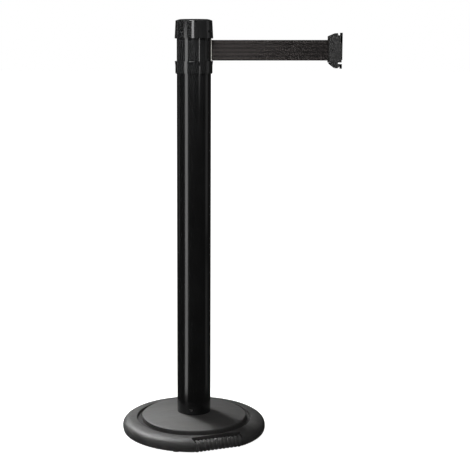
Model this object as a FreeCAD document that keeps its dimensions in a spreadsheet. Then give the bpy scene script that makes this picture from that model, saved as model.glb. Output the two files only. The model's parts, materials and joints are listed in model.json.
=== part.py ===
"""Retractable belt stanchion: a parametric assembly of separate pieces.

Millimetres, Z up.  The origin is the centre of the base on the floor.  The
belt leaves the head along +X and the front of the stanchion faces -Y.
"""
import FreeCAD, Part
import math
import os
import re
import Sketcher

OUT_FOLDER = "parts"

doc = FreeCAD.newDocument("BeltStanchion")
dims = doc.addObject("Spreadsheet::Sheet", "dims")

# ---------------------------------------------------------------- sizes
# Every driving size is a plain number in the sheet and is written once.
SIZES = (
    # overall
    ("overall_height", 1016),
    ("post_diameter", 82.6),
    ("post_wall", 1.5),
    ("base_diameter", 355.6),
    ("belt_width", 49),
    ("belt_thickness", 1.2),
    ("running_gap", 0.3),
    # base
    ("rim_foot", 3),
    ("rim_bulge_height", 13),
    ("rim_small_arc", 10),
    ("pan_thickness", 1.5),
    ("weight_step", 23),
    ("groove_floor", 27),
    ("groove_width", 13),
    ("shoulder_top", 33),
    ("cover_wall", 2),
    ("cover_edge", 39),
    ("cover_centre", 48),
    ("washer_seat", 13),
    ("socket_floor", 27),
    ("pad_radius", 9),
    # roller in the rim of the base
    ("roller_azimuth", -69.3),
    ("roller_inset", 17.8),
    ("roller_radius", 13.8),
    ("roller_height", 15.2),
    ("roller_half", 56.5),
    ("rib_count", 12),
    ("rib_width", 6.6),
    ("rib_depth", 3),
    ("rib_edge", 0.9),
    ("hub_radius", 8),
    ("axle_radius", 4),
    ("axle_play", 0.06),
    ("block_width", 4.7),
    ("axle_seat", 4),
    ("axle_chamfer", 0.6),
    ("block_screw_back", 9.2),
    ("block_screw_rise", 6),
    ("block_head", 1.3),
    ("block_screw_radius", 1.5),
    # foot of the post
    ("plug_top", 73),
    ("bolt_radius", 6),
    ("bolt_head", 3.5),
    ("bolt_head_height", 6),
    ("washer_width", 7),
    ("washer_thickness", 2),
    ("post_screw_height", 60),
    ("post_screw_azimuth", -100),
    ("post_screw_radius", 4),
    # head
    ("cap_height", 46.2),
    ("band_margin", 4.6),
    ("ring_height", 30),
    ("housing_wall", 2),
    ("joint_rise", 15.4),
    ("spigot_length", 30),
    ("cap_engagement", 32),
    ("cap_thickness", 6),
    ("skirt_flare", 5),
    ("lip_flare", 4.7),
    ("skirt_depth", 24.5),
    ("lip_depth", 12.5),
    ("cap_screw_azimuth", -38),
    ("cap_screw_rise", 16.2),
    ("cap_screw_radius", 1.6),
    ("ring_screw_rise", 7),
    ("ring_screw_radius", 2),
    ("drill_room", 3),
    # cassette with the belt spool
    ("flange_thickness", 1.6),
    ("flange_gap", 0.6),
    ("friction_thickness", 0.7),
    ("plate_thickness", 2.5),
    ("core_radius", 14),
    ("core_bore", 12),
    ("shaft_radius", 4),
    ("shaft_play", 0.05),
    ("bush_radius", 6),
    ("column_radius", 2.5),
    ("cassette_screw_radius", 1.25),
    ("cassette_screw_depth", 14),
    ("cassette_head_radius", 2.4),
    ("cassette_head_height", 1.8),
    ("bush_length", 4),
    ("shaft_head", 4),
    ("nut_height", 4),
    ("guide_radius", 2.6),
    ("guide_pin_radius", 1.2),
    ("slot_half_width", 3.5),
    ("slot_margin", 1.5),
    ("bezel_wall", 1),
    ("bezel_side", 1.6),
    ("bezel_lip", 1.3),
    # clip on the free end of the belt, in the pulled-out rest position
    ("clip_left", 322.5),
    ("clip_half", 18),
    ("clip_wall", 2),
    ("clip_depth", 30),
    ("clip_tooth_start", 16),
    ("clip_tooth_end", 20),
    ("clip_land_start", 22),
    ("belt_grip", 11.5),
    ("clamp_offset", 8),
    ("jaw_half", 4),
    ("clamp_head", 1.1),
    ("clamp_head_height", 1.4),
    ("clamp_head_seat", 1.6),
    ("hook_thickness", 1.5),
    ("hook_height", 11),
    ("hook_reach", 4.4),
    ("plate_angle", 42),
    ("hook_angle", 38),
    ("latch_travel", 9.5),
    ("rivet_radius", 2),
    ("rivet_head", 1),
    ("clamp_screw_radius", 1.5),
    ("latch_wire", 0.45),
    ("latch_coil", 2.9),
    ("latch_turns", 9),
    ("latch_peg", 8),
)

# Every other size follows from those, or from another line of this table.
DERIVED = {
    "post_radius": "post_diameter / 2",
    "post_bore": "post_radius - post_wall",
    "base_radius": "base_diameter / 2",
    # base
    "weight_bottom": "rim_foot + 0.5 + pan_thickness",
    "shoulder_radius": "base_radius * 0.8",
    "cover_radius": "shoulder_radius - groove_width",
    "step_radius": "shoulder_radius - 3",
    "rim_run": "base_radius - shoulder_radius - 1.5",
    "rim_rise": "shoulder_top - rim_bulge_height",
    "rim_large_arc": "(rim_run ^ 2 + rim_rise ^ 2 - 2 * rim_run * rim_small_arc)"
                     " / (2 * (rim_rise - rim_small_arc))",
    "rim_arc_share": "rim_large_arc / (rim_large_arc - rim_small_arc)",
    "bolt_room": "bolt_radius + washer_width + 2",
    "washer_bottom": "washer_seat - washer_thickness",
    "bolt_head_bottom": "washer_bottom - bolt_head_height",
    # roller
    "roller_offset": "base_radius - roller_inset",
    "block_inner": "roller_half + 0.8",
    "pocket_half": "block_inner + block_width",
    "pocket_wall": "roller_offset - roller_radius - 0.5",
    # head levels, all measured down from the top of the cap
    "clip_band": "belt_width + band_margin",
    "skirt_bottom": "overall_height - cap_height",
    "ring_top": "skirt_bottom - clip_band",
    "ring_bottom": "ring_top - ring_height",
    "belt_height": "(skirt_bottom + ring_top) / 2 - 1.2",
    "joint_height": "ring_bottom + joint_rise",
    "spigot_bottom": "joint_height - spigot_length",
    "spigot_bore": "post_bore - housing_wall - 0.5",
    "housing_bore": "post_radius - housing_wall",
    "housing_top": "skirt_bottom + cap_engagement",
    "cap_radius": "post_radius + skirt_flare - 1.7",
    "skirt_radius": "post_radius + skirt_flare",
    "skirt_pocket": "skirt_bottom + skirt_depth",
    "cap_screw_height": "skirt_bottom + cap_screw_rise",
    "ring_radius": "lip_radius - 1.3",
    "lip_radius": "post_radius + lip_flare",
    "ring_pocket": "ring_top - lip_depth",
    "ring_screw_height": "ring_bottom + ring_screw_rise",
    # cassette
    "belt_low": "belt_height - belt_width / 2",
    "belt_high": "belt_height + belt_width / 2",
    "spool_bottom": "belt_low - flange_gap - flange_thickness",
    "spool_top": "belt_high + flange_gap + flange_thickness",
    "lower_plate_top": "spool_bottom - running_gap - friction_thickness",
    "lower_plate_bottom": "lower_plate_top - plate_thickness",
    "upper_plate_bottom": "spool_top + flange_gap",
    "upper_plate_top": "upper_plate_bottom + plate_thickness",
    "guide_x": "housing_bore - guide_radius - 0.7",
    "guide_y": "guide_radius + belt_thickness / 2 + running_gap + 0.05",
    "flange_radius": "guide_x - guide_radius - 2.4",
    "roll_radius": "flange_radius - 2.1",
    "column_offset": "flange_radius + column_radius + 0.7",
    "slot_half_height": "belt_width / 2 + slot_margin",
    # clip
    "clip_bottom": "belt_low - 4.5",
    "clip_shoulder": "belt_high + 8.9",
    "clip_land": "belt_high + 10.9",
    "clip_tooth": "belt_high + 15.9",
    "cavity_top": "belt_high + 3",
    "clip_inside": "clip_left + clip_wall + 0.2",
    "clip_cavity_end": "clip_left + 21.9",
    "mate_centre": "clip_left + post_radius + 29.5",
    "mate_radius": "post_radius + running_gap",
    "hook_back": "mate_radius + hook_thickness",
    "skirt_room": "skirt_radius + 1",
    "skirt_room_floor": "skirt_bottom - latch_travel - 0.5",
    "plate_bottom": "belt_low + 1.5",
    "plate_top": "belt_high + 17",
    "hook_top": "plate_bottom - latch_travel - running_gap",
    "hook_tip": "hook_top - hook_height",
    "pad_half": "clip_half - clip_wall - running_gap",
    "pad_top": "plate_bottom + 3",
    "clamp_x": "clip_left + clamp_offset",
    "clamp_low": "pad_top + latch_travel + 1.5",
    "clamp_high": "belt_high + 1",
    "clamp_screw_low": "clamp_low + 8",
    "clamp_screw_high": "clamp_high - 8",
    "belt_end": "clip_left + belt_grip",
    "latch_x": "clip_left + 17",
}

ALIASES = tuple(name for name, _ in SIZES)

for row, (name, value) in enumerate(SIZES, start=1):
    dims.set("A%d" % row, name)
    dims.set("B%d" % row, str(value))
    dims.setAlias("B%d" % row, name)
doc.recompute()

WORD = re.compile(r"[a-z][a-z_0-9]*")


def spelled_out(formula):
    """Replace every derived size in a formula until only sheet sizes are left."""
    def one(match):
        word = match.group(0)
        return "(" + spelled_out(DERIVED[word]) + ")" if word in DERIVED else word
    return WORD.sub(one, str(formula))


def tied(formula):
    """Write a formula of size names as an expression on the cells of the sheet."""
    def one(match):
        word = match.group(0)
        return "dims." + word if word in ALIASES else word
    return WORD.sub(one, spelled_out(formula))


def value_of(formula):
    """Work out a formula of size names as a number."""
    result = dims.evalExpression(spelled_out(formula))
    return float(getattr(result, "Value", result))


# ---------------------------------------------------------------- helpers
NODES = []


def new_body(label):
    """A PartDesign body that becomes one file of the assembly."""
    body = doc.addObject("PartDesign::Body", "body_" + label)
    body.Label = label
    body.AllowCompound = True
    NODES.append(body)
    return body


def place(node, x="0", y="0", z="0", turn="0", axis=(0, 0, 1)):
    """Bind the placement of a node to the sizes; turn is in degrees."""
    node.Placement = FreeCAD.Placement(
        FreeCAD.Vector(value_of(x), value_of(y), value_of(z)),
        FreeCAD.Rotation(FreeCAD.Vector(*axis), value_of(turn)))
    for letter, formula in (("x", x), ("y", y), ("z", z)):
        if formula != "0":
            node.setExpression("Placement.Base." + letter, tied(formula))
    if turn != "0":
        node.setExpression("Placement.Rotation.Angle", tied(turn))


def new_sketch(body, plane, level="0"):
    """A sketch on one of the body's own planes, lifted by level along its normal."""
    sketch = body.newObject("Sketcher::SketchObject", body.Label + "_sketch")
    support = [item for item in body.Origin.OriginFeatures if item.Role == plane][0]
    sketch.AttachmentSupport = [(support, "")]
    sketch.MapMode = "FlatFace"
    if level != "0":
        sketch.AttachmentOffset = FreeCAD.Placement(
            FreeCAD.Vector(0, 0, value_of(level)), FreeCAD.Rotation())
        sketch.setExpression("AttachmentOffset.Base.z", tied(level))
    return sketch


def pin_point(sketch, geometry, vertex, x, y):
    """Hold one vertex of a sketch at a position given by two formulas."""
    for kind, formula in (("DistanceX", x), ("DistanceY", y)):
        number = sketch.addConstraint(
            Sketcher.Constraint(kind, -1, 1, geometry, vertex, value_of(formula)))
        sketch.setExpression("Constraints[%d]" % number, tied(formula))


def arc_between(start, end, radius):
    """The shorter arc between two points; it swells to the right for a positive radius."""
    chord = end - start
    half = chord.Length / 2
    rise = math.sqrt(max(radius ** 2 - half ** 2, 0))
    side = FreeCAD.Vector(-chord.y, chord.x, 0).normalize()
    centre = start + chord * 0.5 + side * (rise if radius > 0 else -rise)
    from_angle = math.atan2(start.y - centre.y, start.x - centre.x)
    to_angle = math.atan2(end.y - centre.y, end.x - centre.x)
    circle = Part.Circle(centre, FreeCAD.Vector(0, 0, 1), abs(radius))
    if radius > 0:
        return Part.ArcOfCircle(circle, from_angle, to_angle), 1, 2
    return Part.ArcOfCircle(circle, to_angle, from_angle), 2, 1


def draw_loop(sketch, corners):
    """A closed outline.  A corner with a third value starts an arc of that radius."""
    first = sketch.GeometryCount
    count = len(corners)
    spots = [FreeCAD.Vector(value_of(corner[0]), value_of(corner[1]), 0) for corner in corners]
    ends = []
    for i, corner in enumerate(corners):
        start = spots[i]
        end = spots[(i + 1) % count]
        if len(corner) == 3:
            arc, near, far = arc_between(start, end, value_of(corner[2]))
            sketch.addGeometry(arc, False)
            ends.append((near, far))
        else:
            sketch.addGeometry(Part.LineSegment(start, end), False)
            ends.append((1, 2))
    for i in range(count):
        following = (i + 1) % count
        sketch.addConstraint(Sketcher.Constraint(
            "Coincident", first + i, ends[i][1], first + following, ends[following][0]))
    for i, corner in enumerate(corners):
        pin_point(sketch, first + i, ends[i][0], corner[0], corner[1])
        if len(corner) == 3:
            size = "abs(%s)" % corner[2]
            held = sketch.addConstraint(
                Sketcher.Constraint("Radius", first + i, value_of(size)))
            sketch.setExpression("Constraints[%d]" % held, tied(size))


def draw_box(sketch, left, low, right, high):
    """A closed rectangle between two corners."""
    draw_loop(sketch, ((left, low), (right, low), (right, high), (left, high)))


def draw_circle(sketch, x, y, radius):
    """A circle held by its centre and radius."""
    number = sketch.addGeometry(Part.Circle(
        FreeCAD.Vector(value_of(x), value_of(y), 0), FreeCAD.Vector(0, 0, 1), value_of(radius)), False)
    pin_point(sketch, number, 3, x, y)
    held = sketch.addConstraint(Sketcher.Constraint("Radius", number, value_of(radius)))
    sketch.setExpression("Constraints[%d]" % held, tied(radius))


def feature(body, kind, sketch):
    """Add a sketch-based feature to a body."""
    item = body.newObject("PartDesign::" + kind, body.Label + "_" + kind.lower())
    item.Profile = sketch
    sketch.Visibility = False
    return item


def turned(body, corners, axis="V_Axis", plane="XZ_Plane", angle="360", cut=False):
    """Turn an outline about a sketch axis, as added or as cut material."""
    sketch = new_sketch(body, plane)
    draw_loop(sketch, corners)
    item = feature(body, "Groove" if cut else "Revolution", sketch)
    item.ReferenceAxis = (sketch, [axis])
    item.Midplane = angle != "360"
    item.Angle = value_of(angle)
    item.setExpression("Angle", tied(angle))
    doc.recompute()
    return item


def raised(body, draw, low, high, plane="XY_Plane"):
    """Pad whatever draw puts in the sketch from one level to another."""
    sketch = new_sketch(body, plane, low)
    draw(sketch)
    item = feature(body, "Pad", sketch)
    item.Length = value_of("%s - (%s)" % (high, low))
    item.setExpression("Length", tied("%s - (%s)" % (high, low)))
    doc.recompute()
    return item


def sunk(body, draw, low, high, plane="XY_Plane"):
    """Cut whatever draw puts in the sketch from one level up to another."""
    before = body.Shape.Volume
    sketch = new_sketch(body, plane, low)
    draw(sketch)
    item = feature(body, "Pocket", sketch)
    item.Reversed = True
    item.Length = value_of("%s - (%s)" % (high, low))
    item.setExpression("Length", tied("%s - (%s)" % (high, low)))
    doc.recompute()
    if body.Shape.Volume >= before - 1e-6:
        raise RuntimeError("a pocket of %s cuts nothing" % body.Label)
    return item


def mid_cut(body, draw, half, plane="XZ_Plane"):
    """Cut through the middle of a body, the same distance to both sides."""
    before = body.Shape.Volume
    sketch = new_sketch(body, plane)
    draw(sketch)
    item = feature(body, "Pocket", sketch)
    item.Midplane = True
    item.Length = value_of("2 * (%s)" % half)
    item.setExpression("Length", tied("2 * (%s)" % half))
    doc.recompute()
    if body.Shape.Volume >= before - 1e-6:
        raise RuntimeError("a cut of %s cuts nothing" % body.Label)
    return item


def mid_pad(body, draw, half, plane="XZ_Plane"):
    """Pad about the middle plane of a body, the same distance to both sides."""
    sketch = new_sketch(body, plane)
    draw(sketch)
    item = feature(body, "Pad", sketch)
    item.Midplane = True
    item.Length = value_of("2 * (%s)" % half)
    item.setExpression("Length", tied("2 * (%s)" % half))
    doc.recompute()
    return item


def around(body, item, count):
    """Repeat a feature about the vertical axis of the body."""
    pattern = body.newObject("PartDesign::PolarPattern", body.Label + "_pattern")
    pattern.Originals = [item]
    vertical = [part for part in body.Origin.OriginFeatures if part.Role == "Z_Axis"][0]
    pattern.Axis = (vertical, [""])
    pattern.Angle = 360
    pattern.Occurrences = count
    body.Tip = pattern
    doc.recompute()
    return pattern


def on_circle(radius, angles, size):
    """Draw equal circles at the given angles of one pitch circle."""
    def draw(sketch):
        for angle in angles:
            draw_circle(sketch, "(%s) * cos(%s)" % (radius, angle),
                        "(%s) * sin(%s)" % (radius, angle), size)
    return draw


def radial_outline(steps):
    """Half outline of a stepped round pin; steps run outwards as (distance, radius)."""
    outline = [(steps[0][0], "0")]
    for (near, radius), (far, _) in zip(steps, steps[1:]):
        outline.append((near, radius))
        outline.append((far, radius))
    outline.append((steps[-1][0], "0"))
    return outline


def radial(body, steps, count, first_angle, height, cut=False):
    """Round pins, or holes if cut, that point at the vertical axis of the body."""
    before = body.Shape.Volume if cut else 0
    sketch = new_sketch(body, "XZ_Plane")
    sketch.AttachmentOffset = FreeCAD.Placement(
        FreeCAD.Vector(0, value_of(height), 0),
        FreeCAD.Rotation(FreeCAD.Vector(0, 1, 0), value_of(first_angle)))
    sketch.setExpression("AttachmentOffset.Base.y", tied(height))
    sketch.setExpression("AttachmentOffset.Rotation.Angle", tied(first_angle))
    draw_loop(sketch, radial_outline(steps))
    item = feature(body, "Groove" if cut else "Revolution", sketch)
    item.ReferenceAxis = (sketch, ["H_Axis"])
    item.Angle = 360
    doc.recompute()
    if count > 1:
        around(body, item, count)
    if cut and body.Shape.Volume >= before - 1e-6:
        raise RuntimeError("the radial holes of %s cut nothing" % body.Label)
    return item


def spiral_points(inner, outer, turns, offset):
    """Points of a flat spiral that grows evenly from inner to outer radius."""
    steps = 20 * turns
    points = []
    for i in range(steps + 1):
        share = i / steps
        angle = 2 * math.pi * turns * share
        radius = inner + (outer - inner) * share + offset
        points.append(FreeCAD.Vector(radius * math.cos(angle), radius * math.sin(angle), 0))
    return points


def spiral_strip(label, inner, outer, turns, thickness, low, high):
    """A wound strip of spring steel standing on edge."""
    edges = []
    for offset in (0.0, thickness):
        curve = Part.BSplineCurve()
        curve.interpolate(spiral_points(inner, outer - thickness, turns, offset))
        edges.append(curve.toShape())
    ends = [edge.valueAt(edge.FirstParameter) for edge in edges]
    tips = [edge.valueAt(edge.LastParameter) for edge in edges]
    wire = Part.Wire([edges[0], Part.makeLine(tips[0], tips[1]), edges[1].reversed(),
                      Part.makeLine(ends[1], ends[0])])
    strip = Part.Face(wire).extrude(FreeCAD.Vector(0, 0, high - low))
    node = doc.addObject("Part::Feature", label)
    node.Label = label
    node.Shape = strip
    node.Placement.Base.z = low
    NODES.append(node)
    return node


def coil_spring(label, coil, wire, turns, low, high, x):
    """A round-wire compression spring standing upright."""
    path = doc.addObject("Part::Helix", label + "_path")
    path.setExpression("Radius", tied(coil))
    path.setExpression("Height", tied("%s - (%s) - 2 * (%s)" % (high, low, wire)))
    path.setExpression("Pitch", tied("(%s - (%s) - 2 * (%s)) / %s" % (high, low, wire, turns)))
    ring = doc.addObject("Part::Circle", label + "_ring")
    ring.setExpression("Radius", tied(wire))
    ring.Placement = FreeCAD.Placement(
        FreeCAD.Vector(value_of(coil), 0, 0), FreeCAD.Rotation(FreeCAD.Vector(1, 0, 0), 90))
    ring.setExpression("Placement.Base.x", tied(coil))
    sweep = doc.addObject("Part::Sweep", label)
    sweep.Label = label
    sweep.Sections = [ring]
    sweep.Spine = (path, ["Edge1"])
    sweep.Solid = True
    sweep.Frenet = True
    NODES.append(sweep)
    place(sweep, x=x, z="%s + %s" % (low, wire))
    doc.recompute()
    return sweep


# ---------------------------------------------------------------- base
# Everything in the base shares one turned frame whose local X axis points at
# the roller, so one angle moves the roller, its pocket and the floor pads.
def in_base(body):
    """Turn a base piece so that its local X axis points at the roller."""
    place(body, turn="roller_azimuth")


rim = new_body("base_rim")
turned(rim, (
    ("step_radius", "rim_foot"),
    ("base_radius - 2.5", "rim_foot", "(2.5 ^ 2 + (rim_bulge_height - rim_foot) ^ 2) / 5"),
    ("base_radius", "rim_bulge_height", "rim_small_arc"),
    ("shoulder_radius + 1.5 + rim_arc_share * (rim_run - rim_small_arc)",
     "shoulder_top - rim_large_arc + rim_arc_share * (rim_large_arc - rim_rise)", "rim_large_arc"),
    ("shoulder_radius + 1.5", "shoulder_top", "1.5"),
    ("shoulder_radius", "shoulder_top - 1.5"),
    ("shoulder_radius - 0.6", "groove_floor + 1"),
    ("shoulder_radius - 1.6", "groove_floor"),
    ("cover_radius - cover_wall - 0.2", "groove_floor"),
    ("cover_radius - cover_wall - 0.2", "weight_step"),
    ("step_radius", "weight_step"),
))
sunk(rim, lambda s: draw_box(s, "pocket_wall", "-pocket_half", "base_radius + 5", "pocket_half"),
     "0", "shoulder_top + 5")
in_base(rim)

weight = new_body("base_weight")
turned(weight, (
    ("0", "weight_bottom"),
    ("step_radius", "weight_bottom"),
    ("step_radius", "weight_step"),
    ("cover_radius - cover_wall - 0.5", "weight_step"),
    ("cover_radius - cover_wall - 0.5", "cover_edge - 4"),
    ("cover_radius - cover_wall - 3", "cover_edge - cover_wall"),
    ("post_radius", "cover_centre - cover_wall"),
    ("post_radius", "socket_floor"),
    ("0", "socket_floor"),
))
turned(weight, (
    ("post_radius + 9", "weight_bottom"),
    ("step_radius - 30", "weight_bottom"),
    ("step_radius - 33", "weight_step"),
    ("post_radius + 12", "weight_step"),
), cut=True)
sunk(weight, lambda s: draw_circle(s, "0", "0", "bolt_radius + 0.4"), "0", "socket_floor + 2")
sunk(weight, lambda s: draw_circle(s, "0", "0", "bolt_room"), "0", "washer_seat")
in_base(weight)

pan = new_body("base_pan")
raised(pan, lambda s: draw_circle(s, "0", "0", "step_radius"),
       "weight_bottom - pan_thickness", "weight_bottom")
sunk(pan, lambda s: draw_circle(s, "0", "0", "bolt_room"), "0", "weight_bottom")
in_base(pan)

cover = new_body("base_cover")
turned(cover, (
    ("post_radius", "cover_centre - cover_wall"),
    ("cover_radius - cover_wall - 3", "cover_edge - cover_wall"),
    ("cover_radius - cover_wall", "cover_edge - 4"),
    ("cover_radius - cover_wall", "groove_floor"),
    ("cover_radius", "groove_floor"),
    ("cover_radius", "cover_edge - 2.4", "2.4"),
    ("cover_radius - 2.4", "cover_edge", "14 * (cover_radius - post_radius)"),
    ("post_radius", "cover_centre"),
))
in_base(cover)

PAD_ANGLES = ("35.5", "90", "145", "-145", "-90", "-35.5")
pads = new_body("floor_pads")
raised(pads, on_circle("base_radius - 16", PAD_ANGLES, "pad_radius"), "0", "rim_foot")
# the centre pad plugs the bolt hole and its underside holds the origin
raised(pads, lambda s: draw_circle(s, "0", "0", "bolt_room"), "0", "weight_bottom - 0.1")
in_base(pads)


# ---------------------------------------------------------------- roller
# The roller pieces are drawn about their own axis, which is the local Y axis.
def at_roller(body):
    """Stand a roller piece in the pocket of the rim."""
    place(body, x="roller_offset * cos(roller_azimuth)", y="roller_offset * sin(roller_azimuth)",
          z="roller_height", turn="roller_azimuth")


def rib_outline():
    """Half outline of the ribbed sleeve, from one end to the other."""
    ribs = int(value_of("rib_count"))
    step = "((2 * roller_half - rib_width) / (rib_count - 1))"
    outline = [("hub_radius", "-roller_half")]
    for rib in range(ribs):
        start = "-roller_half + %d * %s" % (rib, step)
        outline.append(("roller_radius - rib_edge", start))
        outline.append(("roller_radius", start + " + 1"))
        outline.append(("roller_radius", start + " + rib_width - 1"))
        outline.append(("roller_radius - rib_edge", start + " + rib_width"))
        if rib < ribs - 1:
            following = "-roller_half + %d * %s" % (rib + 1, step)
            outline.append(("roller_radius - rib_depth", start + " + rib_width"))
            outline.append(("roller_radius - rib_depth", following))
    outline.append(("hub_radius", "roller_half"))
    return outline


sleeve = new_body("roller_sleeve")
turned(sleeve, rib_outline(), plane="XY_Plane")
at_roller(sleeve)

core = new_body("roller_core")
turned(core, (
    ("axle_radius + axle_play", "-roller_half"),
    ("hub_radius", "-roller_half"),
    ("hub_radius", "roller_half"),
    ("axle_radius + axle_play", "roller_half"),
), plane="XY_Plane")
at_roller(core)

axle = new_body("roller_axle")
turned(axle, (
    ("0", "-block_inner - axle_seat"),
    ("axle_radius - axle_chamfer", "-block_inner - axle_seat"),
    ("axle_radius", "-block_inner - axle_seat + axle_chamfer"),
    ("axle_radius", "block_inner + axle_seat - axle_chamfer"),
    ("axle_radius - axle_chamfer", "block_inner + axle_seat"),
    ("0", "block_inner + axle_seat"),
), plane="XY_Plane")
at_roller(axle)


def block_screw_circle(radius):
    """A circle on the axis of the screws that hold the bearing blocks."""
    return lambda sketch: draw_circle(sketch, "-block_screw_back", "block_screw_rise", radius)


blocks = new_body("bearing_blocks")
BLOCK = (
    ("-roller_radius - 0.5", "rim_foot + 0.5 - roller_height"),
    ("4", "rim_foot + 0.5 - roller_height"),
    ("6.5", "2.5"),
    ("4.5", "7"),
    ("-roller_radius - 0.5", "11.5"),
)
mid_pad(blocks, lambda s: draw_loop(s, BLOCK), "pocket_half")
mid_cut(blocks, lambda s: draw_box(s, "-30", "-30", "30", "30"), "block_inner")
mid_cut(blocks, lambda s: draw_circle(s, "0", "0", "axle_radius"), "block_inner + axle_seat")
mid_cut(blocks, block_screw_circle("block_screw_radius"), "pocket_half + 1")
mid_cut(blocks, block_screw_circle("block_screw_radius + block_head"), "block_inner + 2")
at_roller(blocks)

block_screws = new_body("block_screws")
mid_pad(block_screws, block_screw_circle("block_screw_radius"), "pocket_half + 9")
mid_pad(block_screws, block_screw_circle("block_screw_radius + block_head"), "block_inner + 2")
mid_cut(block_screws, lambda s: draw_box(s, "-30", "-30", "30", "30"), "block_inner + 0.2")
at_roller(block_screws)

# the rim is drilled for the two block screws
mid_cut(rim, lambda s: draw_circle(s, "roller_offset - block_screw_back",
                                   "roller_height + block_screw_rise", "block_screw_radius"),
        "pocket_half + 9")

# ---------------------------------------------------------------- post
plug = new_body("post_plug")
turned(plug, (
    ("bolt_radius", "socket_floor"),
    ("post_bore", "socket_floor"),
    ("post_bore", "plug_top"),
    ("bolt_radius + 6", "plug_top"),
    ("bolt_radius", "plug_top - 2"),
))

centre_bolt = new_body("centre_bolt")
turned(centre_bolt, (
    ("0", "bolt_head_bottom"),
    ("bolt_radius + bolt_head - 0.5", "bolt_head_bottom"),
    ("bolt_radius + bolt_head", "bolt_head_bottom + 0.6"),
    ("bolt_radius + bolt_head", "washer_bottom"),
    ("bolt_radius", "washer_bottom"),
    ("bolt_radius", "plug_top - 9"),
    ("bolt_radius - 1", "plug_top - 8"),
    ("0", "plug_top - 8"),
))

washer = new_body("bolt_washer")
raised(washer, lambda s: draw_circle(s, "0", "0", "bolt_radius + washer_width"),
       "washer_bottom", "washer_seat")
sunk(washer, lambda s: draw_circle(s, "0", "0", "bolt_radius + 0.2"), "0", "washer_seat + 1")

post = new_body("post_tube")
turned(post, (
    ("post_bore", "socket_floor"),
    ("post_radius", "socket_floor"),
    ("post_radius", "joint_height"),
    ("post_bore", "joint_height"),
))
for drilled in (post, plug):
    radial(drilled, (("post_bore - 9", "post_screw_radius"),
                     ("post_radius + drill_room", "post_screw_radius")),
           3, "post_screw_azimuth", "post_screw_height", cut=True)

post_screws = new_body("post_screws")
radial(post_screws, (("post_bore - 9", "post_screw_radius"), ("post_radius - 0.3", "post_screw_radius")),
       3, "post_screw_azimuth", "post_screw_height")

# ---------------------------------------------------------------- head
housing = new_body("head_housing")
turned(housing, (
    ("spigot_bore", "spigot_bottom"),
    ("post_bore", "spigot_bottom"),
    ("post_bore", "joint_height"),
    ("post_radius", "joint_height"),
    ("post_radius", "housing_top"),
    ("housing_bore", "housing_top"),
    ("housing_bore", "lower_plate_bottom"),
    ("spigot_bore", "lower_plate_bottom"),
))
sunk(housing, lambda s: draw_box(s, "housing_bore - 4", "-slot_half_width", "post_radius + 5",
                                 "slot_half_width"),
     "belt_height - slot_half_height", "belt_height + slot_half_height")
radial(housing, (("post_bore - 5", "cap_screw_radius"), ("post_radius + drill_room", "cap_screw_radius")),
       4, "cap_screw_azimuth", "cap_screw_height", cut=True)

ring = new_body("lower_ring")
turned(ring, (
    ("post_radius", "ring_bottom"),
    ("ring_radius - 0.8", "ring_bottom"),
    ("ring_radius", "ring_bottom + 0.8"),
    ("ring_radius", "ring_top - 13"),
    ("lip_radius - 0.5", "ring_top - 6"),
    ("lip_radius", "ring_top - 0.7"),
    ("lip_radius - 0.4", "ring_top"),
    ("lip_radius - 1.1", "ring_top"),
    ("lip_radius - 1.5", "ring_top - 6"),
    ("ring_radius - 1", "ring_pocket"),
    ("post_radius", "ring_pocket"),
))
for drilled in (ring, post, housing):
    radial(drilled, (("post_bore - 5", "ring_screw_radius"),
                     ("ring_radius + drill_room", "ring_screw_radius")),
           2, "0", "ring_screw_height", cut=True)

ring_screws = new_body("ring_screws")
radial(ring_screws, (("spigot_bore + 0.2", "ring_screw_radius"),
                     ("ring_radius - 0.4", "ring_screw_radius")), 2, "0", "ring_screw_height")

cap = new_body("cap")
turned(cap, (
    ("0", "overall_height", "-((cap_radius - 9.6) ^ 2 + 1.6 ^ 2) / 3.2"),
    ("cap_radius - 9.6", "overall_height - 1.6", "-9.3"),
    ("cap_radius", "overall_height - 5.4"),
    ("cap_radius", "skirt_bottom + 34"),
    ("cap_radius + 0.5", "skirt_bottom + 20"),
    ("skirt_radius", "skirt_bottom + 0.8"),
    ("skirt_radius - 0.4", "skirt_bottom"),
    ("skirt_radius - 1.2", "skirt_bottom"),
    ("cap_radius - 0.7", "skirt_bottom + 20"),
    ("cap_radius - 0.9", "skirt_pocket"),
    ("post_radius", "skirt_pocket"),
    ("post_radius", "housing_top"),
    ("housing_bore", "housing_top"),
    ("housing_bore", "upper_plate_top"),
    ("housing_bore - housing_wall", "upper_plate_top"),
    ("housing_bore - housing_wall", "overall_height - cap_thickness"),
    ("0", "overall_height - cap_thickness"),
))
radial(cap, (("post_bore - 5", "cap_screw_radius"), ("post_radius", "cap_screw_radius + 1.4"),
             ("skirt_radius + drill_room", "cap_screw_radius + 1.4")), 4, "cap_screw_azimuth",
       "cap_screw_height", cut=True)

cap_screws = new_body("cap_screws")
radial(cap_screws, (("housing_bore - housing_wall", "cap_screw_radius"),
                    ("post_radius", "cap_screw_radius + 1"),
                    ("post_radius + 2", "cap_screw_radius + 1")), 4, "cap_screw_azimuth",
       "cap_screw_height")

# ---------------------------------------------------------------- cassette
COLUMN_ANGLES = ("90", "180", "270")


def column_circles(radius):
    """Circles for the cassette columns and whatever shares their axes."""
    return on_circle("column_offset", COLUMN_ANGLES, radius)


def guide_circles(radius):
    """Circles on the axes of the two guide rollers."""
    def draw(sketch):
        for side in ("guide_y", "-guide_y"):
            draw_circle(sketch, "guide_x", side, radius)
    return draw


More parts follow.
